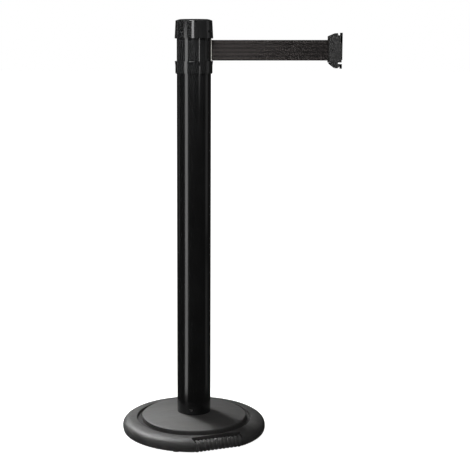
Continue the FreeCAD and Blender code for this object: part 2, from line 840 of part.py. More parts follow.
def cassette_plate(label, low, high, radius):
    """A round plate drilled for the shaft, the column screws and the guide pins."""
    plate = new_body(label)
    raised(plate, lambda s: draw_circle(s, "0", "0", radius), low, high)
    sunk(plate, lambda s: draw_circle(s, "0", "0", "shaft_radius"), low + " - 1", high + " + 1")
    sunk(plate, column_circles("cassette_screw_radius"), low + " - 1", high + " + 1")
    sunk(plate, guide_circles("guide_pin_radius"), low + " - 1", high + " + 1")
    return plate


cassette_plate("cassette_lower_plate", "lower_plate_bottom", "lower_plate_top", "housing_bore")
cassette_plate("cassette_upper_plate", "upper_plate_bottom", "upper_plate_top", "housing_bore - 0.4")

columns = new_body("cassette_columns")
raised(columns, column_circles("column_radius"), "lower_plate_top", "upper_plate_bottom")
sunk(columns, column_circles("cassette_screw_radius"), "lower_plate_top",
     "lower_plate_top + cassette_screw_depth + 1")
sunk(columns, column_circles("cassette_screw_radius"), "upper_plate_bottom - cassette_screw_depth - 1",
     "upper_plate_bottom")

cassette_screws = new_body("cassette_screws")
raised(cassette_screws, column_circles("cassette_screw_radius"), "lower_plate_bottom",
       "lower_plate_top + cassette_screw_depth")
raised(cassette_screws, column_circles("cassette_head_radius"),
       "lower_plate_bottom - cassette_head_height", "lower_plate_bottom")
raised(cassette_screws, column_circles("cassette_screw_radius"),
       "upper_plate_bottom - cassette_screw_depth", "upper_plate_top")
raised(cassette_screws, column_circles("cassette_head_radius"), "upper_plate_top",
       "upper_plate_top + cassette_head_height")

shaft = new_body("spool_shaft")
turned(shaft, (
    ("0", "lower_plate_bottom - 3"),
    ("shaft_radius + shaft_head", "lower_plate_bottom - 3"),
    ("shaft_radius + shaft_head", "lower_plate_bottom"),
    ("shaft_radius", "lower_plate_bottom"),
    ("shaft_radius", "upper_plate_top + 6"),
    ("0", "upper_plate_top + 6"),
))

nut = new_body("shaft_nut")
NUT = [("(shaft_radius + 3.5) * cos(%d)" % a, "(shaft_radius + 3.5) * sin(%d)" % a)
       for a in range(0, 360, 60)]
raised(nut, lambda s: draw_loop(s, NUT), "upper_plate_top", "upper_plate_top + nut_height")
sunk(nut, lambda s: draw_circle(s, "0", "0", "shaft_radius"), "upper_plate_top",
     "upper_plate_top + nut_height + 1")

friction = new_body("friction_disc")
raised(friction, lambda s: draw_circle(s, "0", "0", "flange_radius - 6"), "lower_plate_top",
       "lower_plate_top + friction_thickness")
sunk(friction, lambda s: draw_circle(s, "0", "0", "shaft_radius + shaft_head"), "lower_plate_top",
     "lower_plate_top + friction_thickness + 1")

spool = new_body("spool")
turned(spool, (
    ("bush_radius", "spool_bottom"),
    ("flange_radius", "spool_bottom"),
    ("flange_radius", "spool_bottom + flange_thickness"),
    ("core_radius", "spool_bottom + flange_thickness"),
    ("core_radius", "spool_top - flange_thickness"),
    ("core_bore", "spool_top - flange_thickness"),
    ("core_bore", "spool_bottom + flange_thickness"),
    ("bush_radius", "spool_bottom + flange_thickness"),
))

top_flange = new_body("spool_top_flange")
turned(top_flange, (
    ("bush_radius", "spool_top - flange_thickness"),
    ("flange_radius", "spool_top - flange_thickness"),
    ("flange_radius", "spool_top"),
    ("bush_radius", "spool_top"),
))

bushes = new_body("spool_bushes")
for low, high in (("spool_bottom", "spool_bottom + bush_length"), ("spool_top - bush_length", "spool_top")):
    turned(bushes, (
        ("shaft_radius + shaft_play", low),
        ("bush_radius", low),
        ("bush_radius", high),
        ("shaft_radius + shaft_play", high),
    ))

belt_roll = new_body("belt_roll")
turned(belt_roll, (
    ("core_radius", "belt_low"),
    ("roll_radius", "belt_low"),
    ("roll_radius", "belt_high"),
    ("core_radius", "belt_high"),
))

spiral_strip("power_spring", value_of("bush_radius + 0.6"), value_of("core_bore - 0.02"), 5, 0.5,
             value_of("spool_bottom + bush_length + 1"), value_of("spool_top - bush_length - 1"))

# ---------------------------------------------------------------- belt outlet
pins = new_body("guide_pins")
raised(pins, guide_circles("guide_pin_radius"), "lower_plate_bottom", "upper_plate_top")

for label, side in (("guide_roller_back", "guide_y"), ("guide_roller_front", "-guide_y")):
    roller = new_body(label)
    raised(roller, lambda s: draw_circle(s, "0", "0", "guide_radius"), "lower_plate_top + 0.5",
           "upper_plate_bottom - 0.5")
    sunk(roller, lambda s: draw_circle(s, "0", "0", "guide_pin_radius + 0.05"), "lower_plate_top",
         "upper_plate_bottom")
    place(roller, x="guide_x", y=side)

bezel = new_body("slot_bezel")
raised(bezel, lambda s: draw_box(s, "housing_bore - 0.3", "-slot_half_width", "post_radius + bezel_lip",
                                 "slot_half_width"),
       "belt_height - slot_half_height", "belt_height + slot_half_height")
sunk(bezel, lambda s: draw_box(s, "housing_bore - 2", "-slot_half_width + bezel_side",
                               "post_radius + bezel_lip + 1", "slot_half_width - bezel_side"),
     "belt_height - slot_half_height + bezel_wall", "belt_height + slot_half_height - bezel_wall")

# The belt leaves the roll on a tangent and bends around the rear guide roller.
# The angles of that path follow from the sizes of the roll and the roller.
FEED_INNER = "(guide_radius + running_gap + 0.05)"
FEED_OUTER = "(guide_radius + running_gap + 0.05 + belt_thickness)"
FEED_REACH = "sqrt(guide_x ^ 2 + guide_y ^ 2)"
FEED_SUM = "(roll_radius + running_gap + belt_thickness / 2 + guide_y)"
FEED_TURN = "(atan(guide_y / guide_x) + acos(%s / %s))" % (FEED_SUM, FEED_REACH)


def feed_corner(centre_x, centre_y, radius, sign):
    """A point of the belt path that lies square to the tangent stretch."""
    return ("%s %s %s * cos%s" % (centre_x, sign, radius, FEED_TURN),
            "%s %s %s * sin%s" % (centre_y, sign, radius, FEED_TURN))


def draw_feed(sketch):
    """Outline of the belt between the roll and the start of the straight belt."""
    bend = 6
    outer = []
    inner = []
    for step in range(bend + 1):
        angle = "(-90 deg - (90 deg - %s) * %d / %d)" % (FEED_TURN, step, bend)
        outer.append(("guide_x + %s * cos%s" % (FEED_OUTER, angle),
                      "guide_y + %s * sin%s" % (FEED_OUTER, angle)))
        inner.append(("guide_x + %s * cos%s" % (FEED_INNER, angle),
                      "guide_y + %s * sin%s" % (FEED_INNER, angle)))
    roll_near = feed_corner("0", "0", "(roll_radius + running_gap)", "+")
    roll_far = feed_corner("0", "0", "(roll_radius + running_gap + belt_thickness)", "+")
    draw_loop(sketch, outer + [roll_near, roll_far] + list(reversed(inner)))


feed = new_body("belt_feed")
raised(feed, draw_feed, "belt_low", "belt_high")

belt = new_body("belt")
raised(belt, lambda s: draw_box(s, "guide_x", "-belt_thickness / 2", "belt_end",
                                "belt_thickness / 2"),
       "belt_low", "belt_high")

# ---------------------------------------------------------------- clip
CLAMP_SCREW_HEIGHTS = ("clamp_screw_low", "clamp_screw_high")


def draw_clamp_holes(sketch):
    """The two screw holes that pass through the clip, the jaws and the belt."""
    for level in CLAMP_SCREW_HEIGHTS:
        draw_circle(sketch, "clamp_x", level, "clamp_screw_radius")


shell = new_body("clip_shell")
SHELL = (
    ("clip_left", "clip_bottom"),
    ("clip_left + clip_depth", "clip_bottom"),
    ("clip_left + clip_depth", "clip_land"),
    ("clip_left + clip_land_start", "clip_land"),
    ("clip_left + clip_tooth_end", "clip_tooth"),
    ("clip_left + clip_tooth_start", "clip_tooth"),
    ("clip_left", "clip_shoulder"),
)
mid_pad(shell, lambda s: draw_loop(s, SHELL), "clip_half")
sunk(shell, lambda s: draw_circle(s, "mate_centre", "0", "hook_back"), "clip_bottom - 1",
     "clip_tooth + 1")
sunk(shell, lambda s: draw_circle(s, "mate_centre", "0", "skirt_room"), "skirt_room_floor",
     "clip_tooth + 1")
sunk(shell, lambda s: draw_box(s, "clip_inside", "-(clip_half - clip_wall)", "clip_cavity_end",
                               "clip_half - clip_wall"),
     "clip_bottom - 1", "cavity_top")
sunk(shell, lambda s: draw_box(s, "clip_cavity_end - 1", "-(clip_half - clip_wall)",
                               "clip_left + clip_depth + 10", "clip_half - clip_wall"),
     "clip_bottom - 1", "plate_bottom + 0.2")
sunk(shell, lambda s: draw_box(s, "clip_left - 1", "-belt_thickness / 2 - 0.4",
                               "clip_inside + 1", "belt_thickness / 2 + 0.4"),
     "belt_low - 0.4", "belt_high + 0.4")
mid_cut(shell, draw_clamp_holes, "clip_half + 1")
sunk(shell, lambda s: draw_box(s, "clamp_x - 3", "clip_half - clamp_head_seat", "clamp_x + 3",
                               "clip_half + 1"),
     "clamp_low + 5", "clamp_high - 5")


def sector(label, outline, angle):
    """A curved plate about the axis of the post that the clip hooks onto."""
    body = new_body(label)
    turned(body, outline, angle=angle)
    place(body, x="mate_centre", turn="180")
    return body


plate = sector("clip_plate", (
    ("mate_radius", "plate_bottom"),
    ("hook_back", "plate_bottom"),
    ("hook_back", "plate_top - 0.5"),
    ("hook_back - 0.5", "plate_top"),
    ("mate_radius + 0.4", "plate_top"),
    ("mate_radius", "plate_top - 0.6"),
), "plate_angle")

RIVET_HEIGHTS = ("plate_bottom + 17", "skirt_room_floor - 6")
for height in RIVET_HEIGHTS:
    radial(plate, (("mate_radius - 1", "rivet_radius"), ("hook_back + 1", "rivet_radius")),
           1, "0", height, cut=True)

rivets = new_body("plate_rivets")
for height in RIVET_HEIGHTS:
    radial(rivets, (("mate_radius + 0.1", "rivet_radius"),
                    ("mate_centre - clip_cavity_end", "rivet_radius + rivet_head"),
                    ("mate_centre - clip_cavity_end + 1.2", "rivet_radius + rivet_head")), 1, "0", height)
place(rivets, x="mate_centre", turn="180")

before = shell.Shape.Volume
holes = new_sketch(shell, "YZ_Plane", "clip_cavity_end - 1")
for height in RIVET_HEIGHTS:
    draw_circle(holes, "0", height, "rivet_radius")
drilled = feature(shell, "Pocket", holes)
drilled.Reversed = True
drilled.Length = 20
doc.recompute()
if shell.Shape.Volume >= before:
    raise RuntimeError("the rivet holes of the clip shell cut nothing")

clamp = new_body("belt_clamp")


def draw_jaws(sketch):
    """The two clamp jaws, one on each face of the belt."""
    for near, far in (("belt_thickness / 2", "clip_half - clip_wall"),
                      ("-(clip_half - clip_wall)", "-belt_thickness / 2")):
        draw_box(sketch, "clamp_x - jaw_half", near, "clamp_x + jaw_half", far)


raised(clamp, draw_jaws, "clamp_low", "clamp_high")
mid_cut(clamp, draw_clamp_holes, "clip_half")
mid_cut(belt, draw_clamp_holes, "belt_thickness")

clamp_screws = new_body("clamp_screws")
for height in CLAMP_SCREW_HEIGHTS:
    sketch = new_sketch(clamp_screws, "XZ_Plane", "-(clip_half - clamp_head_seat)")
    draw_circle(sketch, "clamp_x", height, "clamp_screw_radius")
    shank = feature(clamp_screws, "Pad", sketch)
    shank.setExpression("Length", tied("2 * clip_half - clip_wall - 4"))
    sketch = new_sketch(clamp_screws, "XZ_Plane", "-(clip_half - clamp_head_seat + clamp_head_height)")
    draw_circle(sketch, "clamp_x", height, "clamp_screw_radius + clamp_head")
    head = feature(clamp_screws, "Pad", sketch)
    head.setExpression("Length", tied("clamp_head_height"))
    doc.recompute()

latch = new_body("latch_pad")
PAD = (
    ("clip_inside + running_gap", "pad_top"),
    ("clip_inside + running_gap", "hook_top + 0.3"),
    ("clip_left + 16", "hook_tip + 1"),
    ("clip_left + 21", "hook_tip + 1"),
    ("mate_centre - hook_back - 1.4", "hook_top - 4.7"),
    ("mate_centre - hook_back - 1.4", "hook_top"),
    ("clip_cavity_end - running_gap", "hook_top"),
    ("clip_cavity_end - running_gap", "pad_top"),
)
mid_pad(latch, lambda s: draw_loop(s, PAD), "pad_half")
sunk(latch, lambda s: draw_circle(s, "mate_centre", "0", "hook_back + hook_reach"), "hook_tip - 1",
     "hook_top")
sunk(latch, lambda s: draw_box(s, "clip_left", "-belt_thickness / 2 - 0.9", "belt_end + 0.6",
                               "belt_thickness / 2 + 0.9"),
     "belt_low - latch_travel - 0.6", "pad_top + 1")
raised(latch, lambda s: draw_circle(s, "latch_x", "0", "latch_coil - latch_wire - 0.6"),
       "pad_top", "pad_top + latch_peg")

hook = sector("latch_hook", (
    ("mate_radius", "hook_tip + 0.8"),
    ("mate_radius + 0.5", "hook_tip"),
    ("hook_back - 0.4", "hook_tip"),
    ("hook_back", "hook_tip + 0.6"),
    ("hook_back", "hook_top - 1.5"),
    ("hook_back + hook_reach", "hook_top - 1.5"),
    ("hook_back + hook_reach", "hook_top"),
    ("mate_radius", "hook_top"),
), "hook_angle")

coil_spring("latch_spring", "latch_coil", "latch_wire", "latch_turns", "pad_top", "cavity_top", "latch_x")

# ---------------------------------------------------------------- output
doc.recompute()


def check_document():
    """Stop if any object failed, or any node has no valid solid."""
    for item in doc.Objects:
        if "Invalid" in item.State or "Error" in item.State:
            raise RuntimeError("%s did not compute: %s" % (item.Label, item.State))
    labels = [node.Label for node in NODES]
    if len(set(labels)) != len(labels):
        raise RuntimeError("two nodes share one label")
    for node in NODES:
        shape = node.Shape
        if shape.isNull() or not shape.isValid() or not shape.Solids:
            raise RuntimeError("%s has no valid solid" % node.Label)


check_document()
os.makedirs(OUT_FOLDER, exist_ok=True)
for node in NODES:
    node.Shape.exportStep(os.path.join(OUT_FOLDER, node.Label + ".step"))
print("%d nodes written" % len(NODES))
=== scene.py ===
"""Looks of the retractable belt stanchion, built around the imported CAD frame.

Metres, Z up.  The origin is the centre of the base on the floor, the belt
leaves the head along +X, and the front of the stanchion faces -Y.
"""
import bmesh
import bpy
import json
import math
from mathutils import Matrix, Vector


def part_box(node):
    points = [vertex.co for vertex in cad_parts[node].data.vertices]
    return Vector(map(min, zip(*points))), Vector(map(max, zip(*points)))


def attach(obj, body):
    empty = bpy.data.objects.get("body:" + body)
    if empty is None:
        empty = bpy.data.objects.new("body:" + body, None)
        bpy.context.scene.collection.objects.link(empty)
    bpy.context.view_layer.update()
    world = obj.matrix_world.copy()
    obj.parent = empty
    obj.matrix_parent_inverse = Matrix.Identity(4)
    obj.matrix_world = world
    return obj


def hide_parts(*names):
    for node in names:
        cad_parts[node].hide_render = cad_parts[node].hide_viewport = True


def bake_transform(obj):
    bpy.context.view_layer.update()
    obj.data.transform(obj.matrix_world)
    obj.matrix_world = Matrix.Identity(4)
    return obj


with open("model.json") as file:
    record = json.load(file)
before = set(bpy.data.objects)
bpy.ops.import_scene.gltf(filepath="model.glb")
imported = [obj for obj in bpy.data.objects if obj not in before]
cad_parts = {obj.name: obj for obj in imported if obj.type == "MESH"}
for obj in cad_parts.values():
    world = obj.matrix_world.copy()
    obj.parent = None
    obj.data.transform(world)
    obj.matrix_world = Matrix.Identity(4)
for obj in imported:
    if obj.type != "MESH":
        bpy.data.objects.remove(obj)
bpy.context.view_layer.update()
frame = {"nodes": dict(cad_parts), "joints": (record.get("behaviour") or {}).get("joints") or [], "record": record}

MM = 0.001
# Facets round the post and the head, and round the wider base.
SEGMENTS = 224
BASE_SEGMENTS = 288
# A lathe's point nearer to the axis than this becomes a single vertex.
ON_AXIS = 1e-7
# Play between pieces that fit together, and between the belt and what it passes.
FIT = 0.02 * MM
RUNNING_GAP = 0.3 * MM


# ---------------------------------------------------------------- frame values
def low(node):
    """The lowest corner of a CAD node."""
    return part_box(node)[0]


def high(node):
    """The highest corner of a CAD node."""
    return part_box(node)[1]


def joint(name):
    """A joint of the record."""
    return next(item for item in frame["joints"] if item["name"] == name)


BASE_RADIUS = -low("base_rim").x
SHOULDER_RADIUS = 0.8 * BASE_RADIUS
COVER_RADIUS = high("base_cover").x
POST_RADIUS = high("post_tube").x
HEAD_RADIUS = high("head_housing").x
RING_RADIUS = -low("lower_ring").x
SKIRT_RADIUS = -low("cap").x
BELT_LOW = low("belt").z
BELT_HIGH = high("belt").z
BELT_WIDTH = BELT_HIGH - BELT_LOW
BELT_MIDDLE = (BELT_LOW + BELT_HIGH) / 2
BELT_HALF = high("belt").y
BELT_START = low("belt").x
BELT_END = high("belt").x
CLIP_LEFT = low("clip_shell").x
ROLLER_CENTRE = Vector(joint("roller_spin")["pos_m"])
ROLLER_RADIUS = (high("roller_sleeve").z - low("roller_sleeve").z) / 2
SET_SCREW_RADIUS = (high("post_screws").z - low("post_screws").z) / 2


# ---------------------------------------------------------------- mesh helpers
def new_object(name, mesh):
    """A mesh object in the scene."""
    item = bpy.data.objects.new(name, mesh)
    bpy.context.scene.collection.objects.link(item)
    return item


def from_bmesh(name, bm, angle=35):
    """Turn a bmesh into a smooth-shaded object whose edges over an angle stay sharp."""
    bmesh.ops.recalc_face_normals(bm, faces=bm.faces)
    mesh = bpy.data.meshes.new(name)
    bm.to_mesh(mesh)
    bm.free()
    item = new_object(name, mesh)
    soften(item, angle)
    return item


def soften(item, angle=35):
    """Smooth shading, with edges sharper than the angle kept sharp."""
    item.data.shade_smooth()
    item.data.set_sharp_from_angle(angle=math.radians(angle))


def apply_modifiers(item):
    """Replace the object's mesh by its evaluated one."""
    graph = bpy.context.evaluated_depsgraph_get()
    mesh = bpy.data.meshes.new_from_object(item.evaluated_get(graph))
    item.modifiers.clear()
    item.data = mesh


def rounded(corners, steps=6):
    """Round the corners of a closed outline; the third value of a corner is its radius."""
    points = []
    count = len(corners)
    for i, corner in enumerate(corners):
        here = Vector(corner[:2])
        radius = corner[2] if len(corner) > 2 else 0
        if not radius:
            points.append(here)
            continue
        back = (Vector(corners[i - 1][:2]) - here).normalized()
        ahead = (Vector(corners[(i + 1) % count][:2]) - here).normalized()
        half = back.angle(ahead) / 2
        centre = here + (back + ahead).normalized() * radius / math.sin(half)
        start = here + back * radius / math.tan(half) - centre
        end = here + ahead * radius / math.tan(half) - centre
        sweep = start.angle(end)
        for step in range(steps + 1):
            share = step / steps
            arm = start * math.sin((1 - share) * sweep) + end * math.sin(share * sweep)
            points.append(centre + arm / math.sin(sweep))
    return points


def bow(start, end, rise):
    """Points from start to just before end on a shallow curve that rises by rise halfway."""
    steps = 24
    a = Vector(start)
    b = Vector(end)
    side = Vector((-(b - a).y, (b - a).x)).normalized()
    return [a.lerp(b, i / steps) + side * rise * 4 * (i / steps) * (1 - i / steps)
            for i in range(steps)]


def lathe(name, outline, segments=SEGMENTS, angle=35):
    """Turn a closed outline of (radius, height) points about the Z axis."""
    bm = bmesh.new()
    rows = []
    for point in outline:
        if point[0] < ON_AXIS:
            rows.append([bm.verts.new((0, 0, point[1]))])
            continue
        rows.append([bm.verts.new((point[0] * math.cos(math.tau * i / segments),
                                   point[0] * math.sin(math.tau * i / segments), point[1]))
                     for i in range(segments)])
    for row, following in zip(rows, rows[1:] + rows[:1]):
        if len(row) == 1 and len(following) == 1:
            continue
        for i in range(segments):
            j = (i + 1) % segments
            if len(row) == 1:
                bm.faces.new((row[0], following[i], following[j]))
            elif len(following) == 1:
                bm.faces.new((row[i], row[j], following[0]))
            else:
                bm.faces.new((row[i], row[j], following[j], following[i]))
    return from_bmesh(name, bm, angle)


def box_mesh(name, corner, opposite):
    """A closed box between two corners, used as a cutter or as the start of a piece."""
    bm = bmesh.new()
    bmesh.ops.create_cube(bm, size=1)
    a = Vector(corner)
    b = Vector(opposite)
    size = b - a
    for vert in bm.verts:
        vert.co = (a + b) / 2 + Vector((vert.co.x * size.x, vert.co.y * size.y, vert.co.z * size.z))
    return from_bmesh(name, bm)


def prism(name, radius, start, end, sides=48):
    """A closed prism or cylinder from one point to another."""
    bm = bmesh.new()
    axis = Vector(end) - Vector(start)
    turn = Vector((0, 0, 1)).rotation_difference(axis).to_matrix().to_4x4()
    spot = Matrix.Translation((Vector(start) + Vector(end)) / 2) @ turn
    bmesh.ops.create_cone(bm, cap_ends=True, segments=sides, radius1=radius, radius2=radius,
                          depth=axis.length, matrix=spot)
    return from_bmesh(name, bm)


def cut(item, cutters):
    """Subtract the cutters from an object and delete them."""
    for cutter in cutters:
        modifier = item.modifiers.new("cut", "BOOLEAN")
        modifier.operation = "DIFFERENCE"
        modifier.solver = "EXACT"
        modifier.object = cutter
    apply_modifiers(item)
    for cutter in cutters:
        bpy.data.objects.remove(cutter)
    soften(item)


def join(name, items):
    """Join several objects into one piece."""
    bm = bmesh.new()
    for item in items:
        item.data.transform(item.matrix_world)
        bm.from_mesh(item.data)
        bpy.data.objects.remove(item)
    mesh = bpy.data.meshes.new(name)
    bm.to_mesh(mesh)
    bm.free()
    whole = new_object(name, mesh)
    soften(whole)
    return whole


def refined(name, node, width, segments=2):
    """A copy of a CAD node with its flat faces merged and its edges rounded."""
    angle = 30
    bm = bmesh.new()
    bm.from_mesh(frame["nodes"][node].data)
    bmesh.ops.remove_doubles(bm, verts=bm.verts, dist=1e-6)
    bmesh.ops.dissolve_limit(bm, angle_limit=math.radians(0.5), verts=bm.verts, edges=bm.edges)
    item = from_bmesh(name, bm, angle)
    bevel = item.modifiers.new("edges", "BEVEL")
    bevel.width = width
    bevel.segments = segments
    bevel.limit_method = "ANGLE"
    bevel.angle_limit = math.radians(angle)
    bevel.use_clamp_overlap = True
    apply_modifiers(item)
    soften(item, angle + 15)
    return item


def radial_point(radius, degrees, height):
    """A point at a distance and an angle about the axis of the post."""
    return Vector((radius * math.cos(math.radians(degrees)),
                   radius * math.sin(math.radians(degrees)), height))


def skin(bm, rows):
    """Faces around equal closed rows of vertices, from one to the next, and over both ends."""
    count = len(rows[0])
    for row, following in zip(rows, rows[1:]):
        for i in range(count):
            j = (i + 1) % count
            bm.faces.new((row[i], row[j], following[j], following[i]))
    bm.faces.new(rows[0])
    bm.faces.new(rows[-1])


def strip_along(name, path, section):
    """Sweep a closed section of (across, up) points along a flat path of (x, y, nx, ny)."""
    bm = bmesh.new()
    rows = []
    for x, y, nx, ny in path:
        rows.append([bm.verts.new((x + nx * across, y + ny * across, up)) for across, up in section])
    skin(bm, rows)
    return from_bmesh(name, bm, 50)


# ---------------------------------------------------------------- materials
class Finish:
    """A node material that is built up layer by layer in object coordinates."""

    def __init__(self, name):
        self.material = bpy.data.materials.new(name)
        self.material.use_nodes = True
        self.tree = self.material.node_tree
        self.shader = self.tree.nodes["Principled BSDF"]
        self.place = self.tree.nodes.new("ShaderNodeTexCoord").outputs["Object"]
        self.normal = None

    def node(self, kind, **settings):
        """A node with some of its properties set."""
        item = self.tree.nodes.new("ShaderNode" + kind)
        for key, value in settings.items():
            setattr(item, key, value)
        return item

    def wire(self, source, target):
        """Join an output, or write a number, into an input."""
        if isinstance(source, (int, float)):
            target.default_value = source
        else:
            self.tree.links.new(source, target)

    def maths(self, operation, first, second=0.0):
        """One arithmetic step."""
        item = self.node("Math", operation=operation)
        for source, target in zip((first, second), item.inputs):
            self.wire(source, target)
        return item.outputs[0]

    def stretched(self, x, y, z):
        """Object coordinates stretched by a factor on each axis."""
        item = self.node("Mapping")
        item.inputs["Scale"].default_value = (x, y, z)
        self.wire(self.place, item.inputs["Vector"])
        return item.outputs[0]

    def axis(self, letter):
        """One object coordinate."""
        item = self.node("SeparateXYZ")
        self.wire(self.place, item.inputs[0])
        return item.outputs[letter]

    def noise(self, scale, detail=3.0, rough=0.5, place=None):
        """Cloudy noise from 0 to 1."""
        item = self.node("TexNoise")
        self.wire(place or self.place, item.inputs["Vector"])
        item.inputs["Scale"].default_value = scale
        item.inputs["Detail"].default_value = detail
        item.inputs["Roughness"].default_value = rough
        return item.outputs["Fac"]

    def cells(self, scale):
        """Distance to the nearest scattered point."""
        item = self.node("TexVoronoi")
        self.wire(self.place, item.inputs["Vector"])
        item.inputs["Scale"].default_value = scale
        return item.outputs["Distance"]

    def spread(self, value, start, end, to_start=0.0, to_end=1.0):
        """Map a range of a value onto another range, clamped."""
        item = self.node("MapRange")
        for source, target in zip((value, start, end, to_start, to_end), item.inputs):
            self.wire(source, target)
        return item.outputs[0]

    def colours(self, value, *stops):
        """Colour from a value, through (position, colour) stops."""
        ramp = self.node("ValToRGB")
        elements = ramp.color_ramp.elements
        while len(elements) < len(stops):
            elements.new(0.5)
        for element, (position, colour) in zip(elements, stops):
            element.position = position
            element.color = (*colour, 1)
        self.wire(value, ramp.inputs[0])
        return ramp.outputs[0]

    def blend(self, value, first, second):
        """Mix two colours by a value."""
        item = self.node("Mix", data_type="RGBA")
        self.wire(value, item.inputs[0])
        for source, target in ((first, item.inputs[6]), (second, item.inputs[7])):
            if isinstance(source, tuple):
                target.default_value = (*source, 1)
            else:
                self.wire(source, target)
        return item.outputs[2]

    def bump(self, value, distance, strength=1.0):
        """Raise the surface by a value, on top of the bumps so far."""
        item = self.node("Bump")
        item.inputs["Distance"].default_value = distance
        item.inputs["Strength"].default_value = strength
        self.wire(value, item.inputs["Height"])
        if self.normal is not None:
            self.wire(self.normal, item.inputs["Normal"])
        self.normal = item.outputs[0]
        return self

    def edges(self, radius):
        """How close a point is to an outer edge, from 0 on flat faces up to 1."""
        bevel = self.node("Bevel", samples=6)
        bevel.inputs["Radius"].default_value = radius
        geometry = self.node("NewGeometry")
        product = self.node("VectorMath", operation="DOT_PRODUCT")
        self.wire(bevel.outputs[0], product.inputs[0])
        self.wire(geometry.outputs["Normal"], product.inputs[1])
        return self.spread(product.outputs["Value"], 0.995, 0.85)

    def done(self, colour, roughness, metallic=0.0, **constants):
        """Wire the layers into the shader; other settings are plain numbers."""
        self.wire(colour, self.shader.inputs["Base Color"])
        self.wire(roughness, self.shader.inputs["Roughness"])
        self.shader.inputs["Metallic"].default_value = metallic
        for key, value in constants.items():
            self.shader.inputs[key.replace("_", " ")].default_value = value
        if self.normal is not None:
            self.wire(self.normal, self.shader.inputs["Normal"])
        return self.material


def grey(level, warmth=0.0):
    """A near-neutral colour; warmth tints it towards red or, if negative, blue."""
    return (level * (1 + warmth), level, level * (1 - warmth))


def black_cover():
    """Satin black powder coat with a fine even grain and faint handling marks."""
    f = Finish("black_cover")
    grain = f.noise(2600, 2)
    streaks = f.noise(90, 5, 0.65, f.stretched(0.25, 1.6, 1))
    clouds = f.noise(9, 3)
    colour = f.colours(grain, (0.3, grey(0.016, 0.03)), (0.75, grey(0.03, 0.03)))
    rubbed = f.spread(streaks, 0.3, 0.7, 0.56, 0.64)
    rough = f.maths("ADD", rubbed, f.spread(clouds, 0.3, 0.7, -0.02, 0.03))
    f.bump(grain, 0.02 * MM, 0.7).bump(f.noise(900, 3), 0.02 * MM, 0.6)
    return f.done(colour, rough)


def black_post():
    """Smooth semi-gloss black powder coat with a slight orange peel."""
    f = Finish("black_post")
    peel = f.noise(420, 2)
    colour = f.colours(f.noise(14, 4), (0.35, grey(0.0035, -0.02)), (0.7, grey(0.006, -0.02)))
    rough = f.spread(f.noise(30, 5, 0.6), 0.3, 0.75, 0.13, 0.19)
    f.bump(peel, 0.006 * MM, 0.6)
    return f.done(colour, rough)


def black_rim():
    """Satin moulded bumper ring, slightly worn on its outer edge, with its pebbled groove painted darker as shade.
    """
    f = Finish("black_rim")
    grain = f.noise(1700, 3)
    scuffs = f.noise(55, 6, 0.7, f.stretched(1, 1, 5))
    moulded = f.colours(f.noise(25, 4), (0.3, grey(0.014, 0.03)), (0.75, grey(0.024, 0.03)))
    squares = [f.maths("POWER", f.axis(letter), 2) for letter in "XY"]
    across = f.maths("SQRT", f.maths("ADD", *squares))
    groove = f.spread(across, SHOULDER_RADIUS + 0.6 * MM, SHOULDER_RADIUS - 0.4 * MM)
    pebbles = f.noise(260, 3)
    # The groove gets a darker colour than the ring: painted shade in the recess, over its real pebbled grain.
    colour = f.blend(groove, moulded, f.colours(pebbles, (0.35, grey(0.004)), (0.65, grey(0.02, 0.03))))
    smooth = f.spread(scuffs, 0.3, 0.7, 0.54, 0.64)
    rough = f.maths("ADD", smooth, f.maths("MULTIPLY", groove, 0.3))
    f.bump(grain, 0.02 * MM, 0.6).bump(f.maths("MULTIPLY", groove, pebbles), 0.5 * MM, 0.8)
    return f.done(colour, rough, Specular_IOR_Level=0.4)


def black_head():
    """Semi-gloss moulded black of the head, with faint wipe marks."""
    f = Finish("black_head")
    colour = f.colours(f.noise(20, 4), (0.35, grey(0.0075, -0.02)), (0.7, grey(0.012, -0.02)))
    rough = f.spread(f.noise(45, 6, 0.65, f.stretched(1, 1, 0.3)), 0.3, 0.75, 0.09, 0.15)
    f.bump(f.noise(600, 2), 0.004 * MM, 0.6)
    return f.done(colour, rough)


def black_clip():
    """Spark-eroded moulded black of the clip."""
    f = Finish("black_clip")
    erosion = f.noise(2300, 4, 0.6)
    worn = f.edges(0.5 * MM)
    body = f.colours(f.noise(60, 3), (0.3, grey(0.012, 0.02)), (0.75, grey(0.02, 0.02)))
    colour = f.blend(f.maths("MULTIPLY", worn, 0.45), body, grey(0.05))
    rough = f.spread(erosion, 0.3, 0.7, 0.42, 0.56)
    f.bump(erosion, 0.04 * MM, 0.8)
    return f.done(colour, rough)


def clip_steel():
    """Black plated spring steel, worn bright along its edges."""
    f = Finish("clip_steel")
    patches = f.noise(220, 6, 0.7)
    worn = f.maths("MULTIPLY", f.edges(0.5 * MM), f.spread(patches, 0.35, 0.65))
    colour = f.blend(worn, grey(0.03), grey(0.45))
    rough = f.spread(patches, 0.3, 0.7, 0.28, 0.42)
    f.bump(f.noise(900, 4, 0.6, f.stretched(1, 1, 0.1)), 0.01 * MM, 0.5)
    return f.done(colour, rough, 0.8)


def black_rubber():
    """Matt moulded rubber with dust in its grain."""
    f = Finish("black_rubber")
    grain = f.noise(1500, 5, 0.65)
    dust = f.spread(f.noise(130, 6, 0.7), 0.5, 0.8)
    colour = f.blend(f.maths("MULTIPLY", dust, 0.35), grey(0.02, 0.02), grey(0.06, 0.05))
    rough = f.spread(grain, 0.3, 0.7, 0.55, 0.72)
    f.bump(grain, 0.05 * MM, 0.7)
    return f.done(colour, rough)


